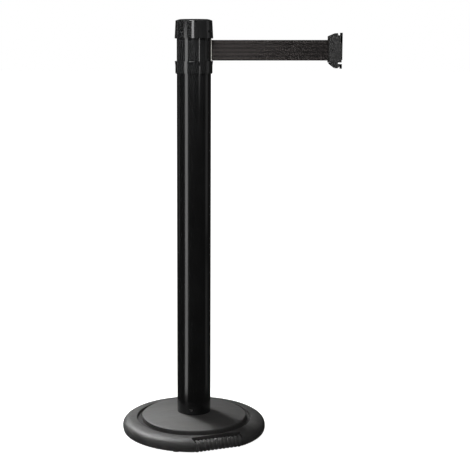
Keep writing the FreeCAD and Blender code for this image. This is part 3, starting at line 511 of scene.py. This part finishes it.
def iron():
    """Rough cast iron under dark paint."""
    f = Finish("iron")
    lumps = f.noise(420, 6, 0.65)
    pits = f.spread(f.cells(500), 0.0, 0.35)
    colour = f.blend(f.spread(lumps, 0.4, 0.75), grey(0.04, 0.05), (0.09, 0.07, 0.055))
    f.bump(lumps, 0.35 * MM, 0.8).bump(pits, 0.15 * MM, 0.5)
    return f.done(colour, f.spread(lumps, 0.3, 0.7, 0.5, 0.75), 0.2)


def zinc_sheet():
    """Zinc plated sheet with a soft spangle."""
    f = Finish("zinc_sheet")
    spangle = f.cells(140)
    colour = f.colours(spangle, (0.0, grey(0.36, -0.03)), (0.6, grey(0.5, -0.02)))
    rough = f.spread(f.noise(260, 5), 0.3, 0.7, 0.25, 0.42)
    f.bump(f.noise(700, 4), 0.01 * MM, 0.5)
    return f.done(colour, rough, 1.0)


def steel():
    """Turned or drawn steel with fine tool lines along its height."""
    f = Finish("steel")
    lines = f.noise(300, 4, 0.6, f.stretched(1, 1, 14))
    colour = f.colours(f.noise(80, 4), (0.3, grey(0.42)), (0.7, grey(0.55)))
    f.bump(lines, 0.012 * MM, 0.5)
    return f.done(colour, f.spread(lines, 0.3, 0.7, 0.2, 0.34), 1.0)


def screw_steel():
    """Black zinc plated screws, rubbed on their edges."""
    f = Finish("screw_steel")
    worn = f.maths("MULTIPLY", f.edges(0.2 * MM), f.spread(f.noise(900, 3), 0.35, 0.6))
    colour = f.blend(worn, grey(0.16), grey(0.6))
    f.bump(f.noise(1800, 3), 0.008 * MM, 0.5)
    return f.done(colour, f.spread(f.noise(700, 4), 0.3, 0.7, 0.2, 0.32), 1.0)


def nylon_black():
    """Moulded black nylon with flow marks."""
    f = Finish("nylon_black")
    flow = f.noise(120, 4, 0.5, f.stretched(1, 1, 0.3))
    colour = f.colours(flow, (0.3, grey(0.018)), (0.75, grey(0.03)))
    f.bump(f.noise(1600, 3), 0.02 * MM, 0.6)
    return f.done(colour, f.spread(flow, 0.3, 0.7, 0.34, 0.46))


def nylon_white():
    """Natural acetal, slightly translucent looking and off-white."""
    f = Finish("nylon_white")
    colour = f.colours(f.noise(90, 4), (0.3, (0.7, 0.68, 0.62)), (0.75, (0.78, 0.77, 0.72)))
    f.bump(f.noise(1500, 3), 0.01 * MM, 0.5)
    return f.done(colour, f.spread(f.noise(300, 4), 0.3, 0.7, 0.3, 0.42))


def bronze():
    """Sintered bronze, with its pores."""
    f = Finish("bronze")
    pores = f.spread(f.cells(2400), 0.0, 0.3)
    colour = f.blend(pores, (0.2, 0.12, 0.06), (0.55, 0.34, 0.16))
    f.bump(pores, 0.03 * MM, 0.6)
    return f.done(colour, f.spread(f.noise(500, 4), 0.3, 0.7, 0.35, 0.5), 1.0)


def felt():
    """Pressed grey felt with tangled fibres."""
    f = Finish("felt")
    fibres = f.noise(1600, 8, 0.8, f.stretched(1, 0.4, 1))
    colour = f.colours(fibres, (0.25, grey(0.12)), (0.8, grey(0.26)))
    f.bump(fibres, 0.2 * MM, 0.9)
    return f.done(colour, f.spread(fibres, 0.2, 0.8, 0.85, 0.98), Sheen_Weight=0.4)


RIB_PITCH = 9.6 * MM
THREAD = 0.85 * MM


def webbing():
    """Woven polyester: five lengthwise ribs, cross threads and tight selvedges; the rib crowns are painted lighter
    as highlight and the grooves darker as shade.
    """
    f = Finish("webbing")
    height = f.maths("SUBTRACT", f.axis("Z"), BELT_MIDDLE)
    phase = f.maths("MULTIPLY", height, math.tau / RIB_PITCH)
    rib = f.spread(f.maths("COSINE", phase), -0.75, 0.35)
    edge = f.spread(f.maths("ABSOLUTE", height), BELT_WIDTH / 2 - 1.7 * MM, BELT_WIDTH / 2 - 1.2 * MM)
    across = f.maths("SINE", f.maths("MULTIPLY", f.axis("X"), math.tau / THREAD))
    along = f.maths("SINE", f.maths("MULTIPLY", height, math.tau / (0.7 * THREAD)))
    weave = f.spread(f.maths("MULTIPLY", across, along), -1, 1)
    fuzz = f.noise(1400, 5, 0.7, f.stretched(0.5, 1, 1))
    tone = f.maths("ADD", f.maths("MULTIPLY", weave, 0.35), f.maths("MULTIPLY", fuzz, 0.65))
    # A darker copy of the colour in the grooves between the ribs is painted shade, and a lighter copy on their
    # crowns is a painted highlight.
    groove = f.colours(tone, (0.2, (0.0042, 0.0032, 0.003)), (0.8, (0.0085, 0.0068, 0.0064)))
    lit_crown = f.colours(tone, (0.2, (0.0105, 0.0085, 0.008)), (0.8, (0.021, 0.0172, 0.016)))
    faded = f.spread(f.noise(12, 3, 0.5, f.stretched(0.4, 1, 1)), 0.3, 0.7, 0.75, 1.0)
    body = f.blend(f.maths("MULTIPLY", rib, faded), groove, lit_crown)
    colour = f.blend(edge, body, (0.006, 0.005, 0.005))
    f.bump(weave, 0.09 * MM, 0.8).bump(fuzz, 0.06 * MM, 0.6)
    return f.done(colour, f.spread(fuzz, 0.2, 0.8, 0.6, 0.8), Specular_IOR_Level=0.2, Sheen_Weight=0.05)


MAKERS = (black_cover, black_post, black_rim, black_head, black_clip, clip_steel, black_rubber,
          iron, zinc_sheet, steel, screw_steel, nylon_black, nylon_white, bronze, felt, webbing)
FINISHES = {maker.__name__: maker() for maker in MAKERS}
SLOT_OF = {row["node"]: row["material_slot"] for row in frame["record"]["subparts"]}

for node, item in frame["nodes"].items():
    item.data.materials.clear()
    item.data.materials.append(FINISHES[SLOT_OF[node]])


def true_flats(item):
    """Let the large faces set the shading normals, so that long faces mirror as flat ones do."""
    weights = item.modifiers.new("normals", "WEIGHTED_NORMAL")
    weights.keep_sharp = True
    weights.weight = 100
    apply_modifiers(item)


def dress(piece, node, body):
    """Give a piece the finish of the CAD node that it stands for, and let it ride."""
    true_flats(piece)
    piece.data.materials.clear()
    piece.data.materials.append(FINISHES[SLOT_OF[node]])
    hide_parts(node)
    if body:
        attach(piece, body)
    return piece


# ---------------------------------------------------------------- base
def make_cover():
    """The shallow dome that hides the weight, with a rolled edge."""
    top = high("base_cover").z
    foot = low("base_cover").z
    wall = 2 * MM
    bore = POST_RADIUS + 0.05 * MM
    rim_height = top - 9 * MM
    dome_start = (COVER_RADIUS - 8 * MM, rim_height + 0.9 * MM)
    sag = 0.45 * MM
    edge = rounded([
        (COVER_RADIUS - wall, foot), (COVER_RADIUS, foot),
        (COVER_RADIUS, rim_height, 2.6 * MM), dome_start], 8)
    dome = bow(dome_start, (bore, top), -sag)
    inner = [(bore, top), (bore, top - wall),
             (COVER_RADIUS - wall - 3 * MM, rim_height - wall),
             (COVER_RADIUS - wall, rim_height - 2 * wall)]
    return lathe("cover_shell", edge[:-1] + dome + inner, BASE_SEGMENTS)


def rim_outline():
    """The bumper ring: a rounded flank that runs into a shoulder and the groove."""
    bottom = low("base_rim").z
    top = high("base_rim").z
    groove = low("base_cover").z
    bulge = 13 * MM
    foot_round = 3.2 * MM
    foot_sweep = 75
    foot_steps = 6
    shoulder_flat = 1.5 * MM
    run = BASE_RADIUS - SHOULDER_RADIUS - shoulder_flat
    fullness = 0.80
    flank_steps = 30
    outline = []
    for step in range(foot_steps + 1):
        angle = math.radians(-foot_sweep + foot_sweep * step / foot_steps)
        outline.append((BASE_RADIUS - foot_round + foot_round * math.cos(angle),
                        bulge + (bulge - bottom) * math.sin(angle)))
    for step in range(1, flank_steps + 1):
        angle = math.pi / 2 * step / flank_steps
        outline.append((BASE_RADIUS - run * (1 - math.cos(angle) ** fullness),
                        bulge + (top - bulge) * math.sin(angle) ** fullness))
    ledge = COVER_RADIUS - 2.2 * MM
    bore = SHOULDER_RADIUS - 3 * MM
    step_top = groove - 4 * MM
    outline += rounded([
        (SHOULDER_RADIUS + shoulder_flat, top), (SHOULDER_RADIUS, top, 1.2 * MM),
        (SHOULDER_RADIUS - 1 * MM, groove, 1 * MM), (ledge, groove)])[1:]
    outline += [(ledge, step_top), (bore, step_top), (bore, bottom)]
    return outline


def in_base(item):
    """Turn a piece that is drawn with the roller on its X axis into the base's own frame."""
    item.data.transform(Matrix.Rotation(math.atan2(ROLLER_CENTRE.y, ROLLER_CENTRE.x), 4, "Z"))
    return item


def make_rim():
    """The bumper ring with the pocket that holds the roller."""
    rim = lathe("bumper_ring", rim_outline(), BASE_SEGMENTS)
    side_gap = 0.5 * MM
    wall = ROLLER_CENTRE.to_2d().length - ROLLER_RADIUS - side_gap
    half = 62 * MM
    past = 10 * MM
    pocket = box_mesh("pocket", (wall, -half, -past), (BASE_RADIUS + past, half, high("base_rim").z + past))
    cut(rim, [pocket])
    return in_base(rim)


def make_roller():
    """The ribbed rubber sleeve: rounded ribs between narrow waists."""
    ribs = 12
    half = 56.5 * MM
    width = 6.6 * MM
    depth = 2.4 * MM
    roundness = 0.22
    steps = 8
    pitch = (2 * half - width) / (ribs - 1)
    hub = 8 * MM
    outline = [(hub, -half)]
    for rib in range(ribs):
        start = -half + rib * pitch
        for step in range(steps + 1):
            share = step / steps
            rise = math.sin(math.pi * share) ** roundness if 0 < share < 1 else 0
            outline.append((ROLLER_RADIUS - depth + depth * rise, start + width * share))
    outline.append((hub, half))
    sleeve = lathe("ribbed_sleeve", outline, 96, 50)
    sleeve.data.transform(Matrix.Rotation(-math.pi / 2, 4, "X"))
    in_base(sleeve)
    sleeve.data.transform(Matrix.Translation(ROLLER_CENTRE))
    return sleeve


dress(make_cover(), "base_cover", "stanchion")
dress(make_rim(), "base_rim", "stanchion")
dress(make_roller(), "roller_sleeve", "roller")


# ---------------------------------------------------------------- screws
def socket_screw(tip, top, shank, head, head_height):
    """A button-head screw with a hexagon socket, from its tip to the top of its head."""
    tip = Vector(tip)
    top = Vector(top)
    length = (top - tip).length
    shoulder = length - head_height
    socket_radius = 0.55 * head
    socket_floor = length - 0.6 * head_height
    outline = rounded([(0, 0), (shank, 0, 0.2 * MM), (shank, shoulder), (head, shoulder, 0.1 * MM),
                       (head, length, 0.35 * MM), (0, length)], 4)
    screw = lathe("screw", outline, 40)
    cut(screw, [prism("hexagon", socket_radius, (0, 0, socket_floor), (0, 0, length + MM), 6)])
    turn = Vector((0, 0, 1)).rotation_difference(top - tip).to_matrix().to_4x4()
    screw.data.transform(Matrix.Translation(tip) @ turn)
    return screw


def around(node, count, first):
    """The height of a node's screws about the post, and the angle of each from the first one on."""
    height = (low(node).z + high(node).z) / 2
    return height, [first + 360 * i / count for i in range(count)]


CAP_SCREWS = around("cap_screws", 4, -38)
RING_SCREWS = around("ring_screws", 2, 0)
POST_SCREWS = around("post_screws", 3, -100)
CAP_SCREW_HOLE = 1.6 * MM
CAP_COUNTERBORE = 3.05 * MM
RING_SCREW_HOLE = 2 * MM


def ring_of_screws(name, pattern, inner, outer, shank, head, head_height):
    """Equal screws that point at the axis of the post."""
    height, angles = pattern
    screws = [socket_screw(radial_point(inner, angle, height), radial_point(outer, angle, height),
                           shank, head, head_height) for angle in angles]
    return join(name, screws)


def screw_holes(pattern, radius, inner=30 * MM, outer=60 * MM):
    """Cutters for the holes of a ring of screws."""
    height, angles = pattern
    return [prism("hole", radius, radial_point(inner, angle, height), radial_point(outer, angle, height))
            for angle in angles]


dress(ring_of_screws("cap_side_screws", CAP_SCREWS, inner=37.4 * MM, outer=POST_RADIUS + 1.9 * MM,
                     shank=1.55 * MM, head=2.55 * MM, head_height=1.9 * MM), "cap_screws", "stanchion")
dress(ring_of_screws("ring_side_screws", RING_SCREWS, inner=37.6 * MM, outer=44.2 * MM,
                     shank=1.9 * MM, head=1.95 * MM, head_height=1.5 * MM), "ring_screws", "stanchion")
dress(ring_of_screws("post_set_screws", POST_SCREWS, inner=31 * MM, outer=POST_RADIUS - 0.35 * MM,
                     shank=SET_SCREW_RADIUS - 0.1 * MM, head=SET_SCREW_RADIUS - 0.05 * MM,
                     head_height=2 * MM), "post_screws", "stanchion")


# ---------------------------------------------------------------- post and head
def make_post():
    """The coated tube."""
    foot = low("post_tube").z
    top = high("post_tube").z
    bore = POST_RADIUS - 1.5 * MM
    tube = lathe("coated_tube", rounded([
        (bore, foot), (POST_RADIUS, foot, 0.3 * MM), (POST_RADIUS, top), (bore, top)], 3))
    holes = screw_holes(POST_SCREWS, SET_SCREW_RADIUS + 0.05 * MM)
    cut(tube, holes + screw_holes(RING_SCREWS, RING_SCREW_HOLE))
    return tube


def make_housing():
    """The head tube with its spigot and the slot that the belt leaves by."""
    foot = low("head_housing").z
    top = high("head_housing").z
    seam = high("post_tube").z + FIT
    seat = low("cassette_lower_plate").z
    bore = HEAD_RADIUS - 2 * MM
    ledge = bore - 2 * MM
    spigot = POST_RADIUS - 1.55 * MM
    housing = lathe("head_tube", rounded([
        (ledge, foot), (spigot, foot, 0.8 * MM), (spigot, seam), (HEAD_RADIUS, seam),
        (HEAD_RADIUS, top, 0.4 * MM), (bore, top), (bore, seat), (ledge, seat)], 4))
    slot_low = low("slot_bezel")
    slot_high = high("slot_bezel")
    past = 5 * MM
    slot = box_mesh("slot", (bore - past, slot_low.y, slot_low.z),
                    (HEAD_RADIUS + past, slot_high.y, slot_high.z))
    cut(housing, [slot] + screw_holes(CAP_SCREWS, CAP_SCREW_HOLE) + screw_holes(RING_SCREWS, RING_SCREW_HOLE))
    return housing


def make_ring():
    """The lower ring, whose flared lip forms a pocket for a neighbour's hook."""
    foot = low("lower_ring").z
    top = high("lower_ring").z
    neck = RING_RADIUS - 1.3 * MM
    pocket = top - 12.5 * MM
    flare = top - 11 * MM
    lip = 1.2 * MM
    wall = 1.1 * MM
    inner = HEAD_RADIUS + FIT
    outline = rounded([
        (inner, foot), (neck, foot, 0.9 * MM), (neck, flare, 12 * MM),
        (RING_RADIUS, top, 0.45 * MM), (RING_RADIUS - lip, top, 0.35 * MM),
        (neck - wall, pocket, 0.6 * MM), (inner, pocket)])
    ring = lathe("flared_ring", outline)
    cut(ring, screw_holes(RING_SCREWS, RING_SCREW_HOLE + 0.05 * MM))
    return ring


def make_cap():
    """The cap, with a domed top, a flared skirt and four counterbored screw holes."""
    foot = low("cap").z
    top = high("cap").z
    shoulder = SKIRT_RADIUS - 2.2 * MM
    wall = SKIRT_RADIUS - 2.6 * MM
    collar = HEAD_RADIUS + FIT
    bore = HEAD_RADIUS - 2 * MM
    ledge = bore - 2 * MM
    seat = high("head_housing").z + FIT
    pocket = foot + 24.5 * MM
    rest = high("cassette_upper_plate").z
    ceiling = top - 6 * MM
    brow = shoulder - 9 * MM
    outline = rounded([
        (brow, top - 0.6 * MM, 14 * MM), (shoulder, top - 3.6 * MM, 1.4 * MM),
        (SKIRT_RADIUS, foot + 0.3 * MM, 0.5 * MM), (SKIRT_RADIUS - 1.2 * MM, foot, 0.3 * MM),
        (wall, foot + 18 * MM, 20 * MM), (wall, pocket, 0.6 * MM), (collar, pocket), (collar, seat),
        (bore, seat), (bore, rest), (ledge, rest), (ledge, ceiling), (0, ceiling), (0, top)], 8)
    cap = lathe("flared_cap", outline)
    holes = screw_holes(CAP_SCREWS, CAP_COUNTERBORE, HEAD_RADIUS)
    holes += screw_holes(CAP_SCREWS, CAP_SCREW_HOLE, 34 * MM, HEAD_RADIUS + MM)
    cut(cap, holes)
    return cap


dress(make_post(), "post_tube", "stanchion")
dress(make_housing(), "head_housing", "stanchion")
dress(make_ring(), "lower_ring", "stanchion")
dress(make_cap(), "cap", "stanchion")
dress(refined("belt_bezel", "slot_bezel", 0.4 * MM, 3), "slot_bezel", "stanchion")


# ---------------------------------------------------------------- webbing
# Thickness of the bent and the wound webbing, as shares of the straight one's.
FEED_THICKNESS = 0.97
ROLL_THICKNESS = 0.8
ROLL_PITCH = 1.02 * MM


def rib_section(thickness_scale=1.0):
    """Closed cross-section of the webbing: five ribs and a tight edge on each side."""
    steps = 132
    selvedge = 1.6 * MM
    rounding = 0.5 * MM
    level = 0.75
    rib_share = 0.28
    edge_share = 0.35
    side = []
    for i in range(steps + 1):
        up = -BELT_WIDTH / 2 + BELT_WIDTH * i / steps
        margin = BELT_WIDTH / 2 - abs(up)
        rib = level
        if margin >= selvedge:
            rib = min(1, max(0, level + 1.35 * math.cos(math.tau * up / RIB_PITCH)))
        end = math.sqrt(min(1, max(0, margin / rounding)))
        depth = BELT_HALF * thickness_scale
        depth *= 1 - rib_share + rib_share * rib
        depth *= edge_share + (1 - edge_share) * end
        side.append((depth, BELT_MIDDLE + up))
    back = [(-depth, up) for depth, up in reversed(side)]
    return side + back


def make_belt():
    """The straight stretch between the guide rollers and the clip."""
    steps = 150
    path = [(BELT_START + (BELT_END - BELT_START) * i / steps, 0, 0, 1) for i in range(steps + 1)]
    return strip_along("webbing_strip", path, rib_section())


def length_of(path):
    """Length along a flat path."""
    return sum(math.dist(a[:2], b[:2]) for a, b in zip(path, path[1:]))


ROLL_RADIUS = high("belt_roll").x
LEAVE_RADIUS = ROLL_RADIUS + RUNNING_GAP + BELT_HALF
GUIDE = (low("guide_roller_back") + high("guide_roller_back")) / 2


def leaving_angle():
    """The angle at which the belt leaves the roll towards the rear guide roller."""
    reach = math.hypot(GUIDE.x, GUIDE.y)
    return math.atan2(GUIDE.y, GUIDE.x) + math.acos((LEAVE_RADIUS + GUIDE.y) / reach)


def make_feed():
    """The belt's tangent stretch from the roll, and its bend round the rear guide roller."""
    turn = leaving_angle()
    steps = 12
    path = []
    for i in range(steps + 1):
        angle = -math.pi / 2 - (math.pi / 2 - turn) * i / steps
        path.append((GUIDE.x + GUIDE.y * math.cos(angle), GUIDE.y + GUIDE.y * math.sin(angle),
                     -math.cos(angle), -math.sin(angle)))
    start = Vector(path[-1][:2])
    end = Vector((LEAVE_RADIUS * math.cos(turn), LEAVE_RADIUS * math.sin(turn)))
    for i in range(1, steps + 1):
        spot = start.lerp(end, i / steps)
        path.append((spot.x, spot.y, math.cos(turn), math.sin(turn)))
    return strip_along("webbing_feed", path, rib_section(FEED_THICKNESS)), length_of(path)


def make_roll():
    """The webbing wound on the spool as one long spiral."""
    core = 14.05 * MM
    turns = (ROLL_RADIUS - core) / ROLL_PITCH - 1
    steps = int(turns * 64)
    path = []
    for i in range(steps + 1):
        share = i / steps
        angle = leaving_angle() - math.tau * turns * (1 - share)
        radius = core + 0.5 * ROLL_PITCH + turns * ROLL_PITCH * share
        path.append((radius * math.cos(angle), radius * math.sin(angle), math.cos(angle), math.sin(angle)))
    every_third = rib_section(ROLL_THICKNESS)[::3]
    return strip_along("webbing_roll", path, every_third), length_of(path)


belt = dress(make_belt(), "belt", None)
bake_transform(belt)
feed, feed_length = make_feed()
dress(feed, "belt_feed", "stanchion")
roll, roll_length = make_roll()
dress(roll, "belt_roll", "spool")


# ---------------------------------------------------------------- clip
def make_latch_pad():
    """The latch slider, with finger grooves in the part that shows below the clip."""
    pad = refined("latch_slider", "latch_pad", 0.5 * MM)
    grooves = 4
    pitch = 2.2 * MM
    first = low("latch_pad").z + 3.4 * MM
    half = 0.45 * MM
    depth = 0.5 * MM
    left = CLIP_LEFT + 9.5 * MM
    right = CLIP_LEFT + 20 * MM
    cutters = []
    for i in range(grooves):
        height = first + pitch * i
        for face in (-high("latch_pad").y, high("latch_pad").y):
            cutters.append(box_mesh("groove", (left, face - depth, height - half),
                                    (right, face + depth, height + half)))
    cut(pad, cutters)
    return pad


def make_latch_spring():
    """The round-wire spring that pushes the latch down."""
    bottom = low("latch_spring")
    top = high("latch_spring")
    centre = (bottom + top) / 2
    wire = 0.45 * MM
    coil = (top.x - bottom.x) / 2 - wire
    turns = 9
    per_turn = 28
    ring = 8
    closing = 0.035
    bm = bmesh.new()
    rows = []
    for i in range(turns * per_turn + 1):
        angle = math.tau * i / per_turn
        share = i / (turns * per_turn)
        eased = share + closing * math.sin(math.tau * share)
        height = bottom.z + wire + (top.z - bottom.z - 2 * wire) * eased
        rows.append([bm.verts.new((
            centre.x + (coil + wire * math.cos(math.tau * k / ring)) * math.cos(angle),
            centre.y + (coil + wire * math.cos(math.tau * k / ring)) * math.sin(angle),
            height + wire * math.sin(math.tau * k / ring))) for k in range(ring)])
    skin(bm, rows)
    return from_bmesh("latch_coil", bm, 60)


def make_clamp_screws():
    """The two screws through the clip, the jaws and the belt."""
    bottom = low("clamp_screws")
    top = high("clamp_screws")
    x = (bottom.x + top.x) / 2
    head = (top.x - bottom.x) / 2
    screws = [socket_screw((x, bottom.y, z), (x, top.y, z), shank=1.45 * MM, head=head, head_height=1.4 * MM)
              for z in (bottom.z + head, top.z - head)]
    return join("clip_screws", screws)


dress(refined("clip_housing", "clip_shell", 0.7 * MM, 3), "clip_shell", "clip")
dress(refined("clip_hook_plate", "clip_plate", 0.25 * MM), "clip_plate", "clip")
dress(refined("latch_hook_plate", "latch_hook", 0.25 * MM), "latch_hook", "latch")
dress(refined("clip_rivets", "plate_rivets", 0.3 * MM), "plate_rivets", "clip")
dress(make_latch_pad(), "latch_pad", "latch")
dress(make_clamp_screws(), "clamp_screws", "clip")
spring = dress(make_latch_spring(), "latch_spring", None)
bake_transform(spring)


# ---------------------------------------------------------------- stage
FLOOR_RADIUS = 40
FLOOR_GREY = 0.45
FLOOR_LIFT = 0.93
ROOM_LIGHT = 0.5
FLAG_LEVEL = 0.03
CARD_NEAR = 0.34
CARD_FAR = 2.19
CARD_LIFT = 4 * MM
# Azimuths in degrees, from the camera's side towards the belt's side.
LEFT_LAMP = -51.5
RIGHT_LAMP = 95


class Rays:
    """A material or world tree that can tell which rays are looking."""

    def __init__(self, owner, output):
        owner.use_nodes = True
        self.tree = owner.node_tree
        self.tree.nodes.clear()
        self.output = self.tree.nodes.new(output)
        self.path = self.tree.nodes.new("ShaderNodeLightPath")

    def maths(self, operation, first, second):
        """One arithmetic step on two outputs or numbers."""
        item = self.tree.nodes.new("ShaderNodeMath")
        item.operation = operation
        for source, target in ((first, item.inputs[0]), (second, item.inputs[1])):
            if isinstance(source, (int, float)):
                target.default_value = source
            else:
                self.tree.links.new(source, target)
        return item.outputs[0]

    def looking(self):
        """1 for rays of the camera, of a reflection or through glass, and 0 for light on surfaces."""
        rays = self.path.outputs
        straight = self.maths("MAXIMUM", rays["Is Camera Ray"], rays["Is Glossy Ray"])
        return self.maths("MAXIMUM", straight, rays["Is Transmission Ray"])

    def join(self, kind, first, second, factor=None):
        """Add or mix two shaders and send them to the output."""
        item = self.tree.nodes.new(kind)
        if factor is not None:
            self.tree.links.new(factor, item.inputs[0])
        self.tree.links.new(first, item.inputs[-2])
        self.tree.links.new(second, item.inputs[-1])
        self.tree.links.new(item.outputs[0], self.output.inputs["Surface"])


def make_floor():
    """A mid-grey floor for the light, lifted to white where it is seen."""
    bm = bmesh.new()
    bmesh.ops.create_circle(bm, cap_ends=True, segments=96, radius=FLOOR_RADIUS)
    floor = from_bmesh("floor", bm)
    material = bpy.data.materials.new("floor_paper")
    rays = Rays(material, "ShaderNodeOutputMaterial")
    paper = rays.tree.nodes.new("ShaderNodeBsdfDiffuse")
    paper.inputs["Color"].default_value = (*grey(FLOOR_GREY), 1)
    glow = rays.tree.nodes.new("ShaderNodeEmission")
    rays.tree.links.new(rays.maths("MULTIPLY", rays.looking(), FLOOR_LIFT), glow.inputs["Strength"])
    rays.join("ShaderNodeAddShader", paper.outputs[0], glow.outputs[0])
    floor.data.materials.append(material)


def make_world():
    """White where it is seen, and a dim soft room for the light that falls on the object."""
    world = bpy.data.worlds.new("room")
    bpy.context.scene.world = world
    rays = Rays(world, "ShaderNodeOutputWorld")
    shaders = []
    for strength in (ROOM_LIGHT, 1):
        shader = rays.tree.nodes.new("ShaderNodeBackground")
        shader.inputs["Color"].default_value = (1, 1, 1, 1)
        shader.inputs["Strength"].default_value = strength
        shaders.append(shader.outputs[0])
    rays.join("ShaderNodeMixShader", *shaders, rays.looking())


def glossy_only(item, level):
    """Give a stage piece an even glow that only reflections pick up."""
    material = bpy.data.materials.new(item.name + "_cloth")
    rays = Rays(material, "ShaderNodeOutputMaterial")
    glow = rays.tree.nodes.new("ShaderNodeEmission")
    glow.inputs["Strength"].default_value = level
    rays.tree.links.new(glow.outputs[0], rays.output.inputs["Surface"])
    item.data.materials.append(material)
    item.visible_camera = False
    item.visible_diffuse = False
    item.visible_shadow = False
    item.visible_transmission = False


def make_flags():
    """Dark studio cloth around the set, which only the gloss of the object picks up."""
    near = BASE_RADIUS - 10 * MM
    far = 3.3
    top = 6.0
    thick = 0.01
    lift = 0.001
    outline = [(near, 2 * lift), (far, 2 * lift), (far, top), (far + thick, top),
               (far + thick, lift), (near, lift)]
    glossy_only(lathe("flags", outline, 64), FLAG_LEVEL)


def make_floor_card(name, azimuth, half, level):
    """A card on the floor in front of a lamp, which carries the lamp's reflection down the post."""
    bm = bmesh.new()
    steps = 8
    rows = []
    for i in range(steps + 1):
        angle = azimuth - 90 - half + 2 * half * i / steps
        rows.append([bm.verts.new(radial_point(radius, angle, CARD_LIFT))
                     for radius in (CARD_NEAR, CARD_FAR)])
    for row, following in zip(rows, rows[1:]):
        bm.faces.new((row[0], row[1], following[1], following[0]))
    glossy_only(from_bmesh(name, bm), level)


def softbox(name, azimuth, distance, height, width, tall, radiance, aim=None, spread=180):
    """A soft lamp; azimuth is counted from the camera's side towards the belt's side."""
    spot = radial_point(distance, azimuth - 90, height)
    lamp = bpy.data.lights.new(name, "AREA")
    lamp.shape = "RECTANGLE"
    lamp.size = width
    lamp.size_y = tall
    lamp.energy = radiance * math.pi * width * tall
    lamp.spread = math.radians(spread)
    item = bpy.data.objects.new(name, lamp)
    bpy.context.scene.collection.objects.link(item)
    item.location = spot
    target = Vector(aim) if aim else Vector((0, 0, height))
    item.rotation_euler = (target - spot).to_track_quat("-Z", "Y").to_euler()
    item.visible_camera = False


def make_lamps():
    """The lamps of a plain studio: broad ones for the whole object, gridded ones for the base and belt."""
    softbox("left_strip", LEFT_LAMP, distance=2.2, height=0.56, width=0.75, tall=1.32, radiance=3.3)
    softbox("high_front", -7, distance=2.6, height=2.1, width=0.6, tall=1.9, radiance=7.0)
    softbox("right_spot", 36, distance=2.4, height=0.93, width=0.16, tall=0.20, radiance=6.0)
    softbox("right_panel", RIGHT_LAMP, distance=2.4, height=0.9, width=0.9, tall=1.6, radiance=0.3)
    softbox("left_edge", -119, distance=2.4, height=0.6, width=0.3, tall=1.6, radiance=0.35)
    softbox("base_grid", -126, distance=1.0, height=1.2, width=0.7, tall=0.5, radiance=2.4,
            aim=(-0.18, -0.06, 0.04), spread=22)
    softbox("belt_grid", -20, distance=1.25, height=1.75, width=0.4, tall=0.4, radiance=2.0,
            aim=(0.06, 0, 0.94), spread=26)


def make_camera():
    """The camera: level with the head, in front, tilted down to the middle of the post."""
    data = bpy.data.cameras.new("camera")
    data.sensor_width = 36
    data.lens = 85.05
    data.shift_x = 0.0874
    data.shift_y = -0.0820
    item = bpy.data.objects.new("camera", data)
    bpy.context.scene.collection.objects.link(item)
    item.location = (0, -2.687, 0.950)
    item.rotation_euler = (math.radians(90 - 7.675), 0, 0)
    bpy.context.scene.camera = item


make_floor()
make_world()
make_flags()
make_floor_card("left_card", LEFT_LAMP, half=10, level=2.8)
make_floor_card("right_card", RIGHT_LAMP, half=10, level=0.25)
make_lamps()
make_camera()
bpy.context.scene.view_settings.view_transform = "Standard"
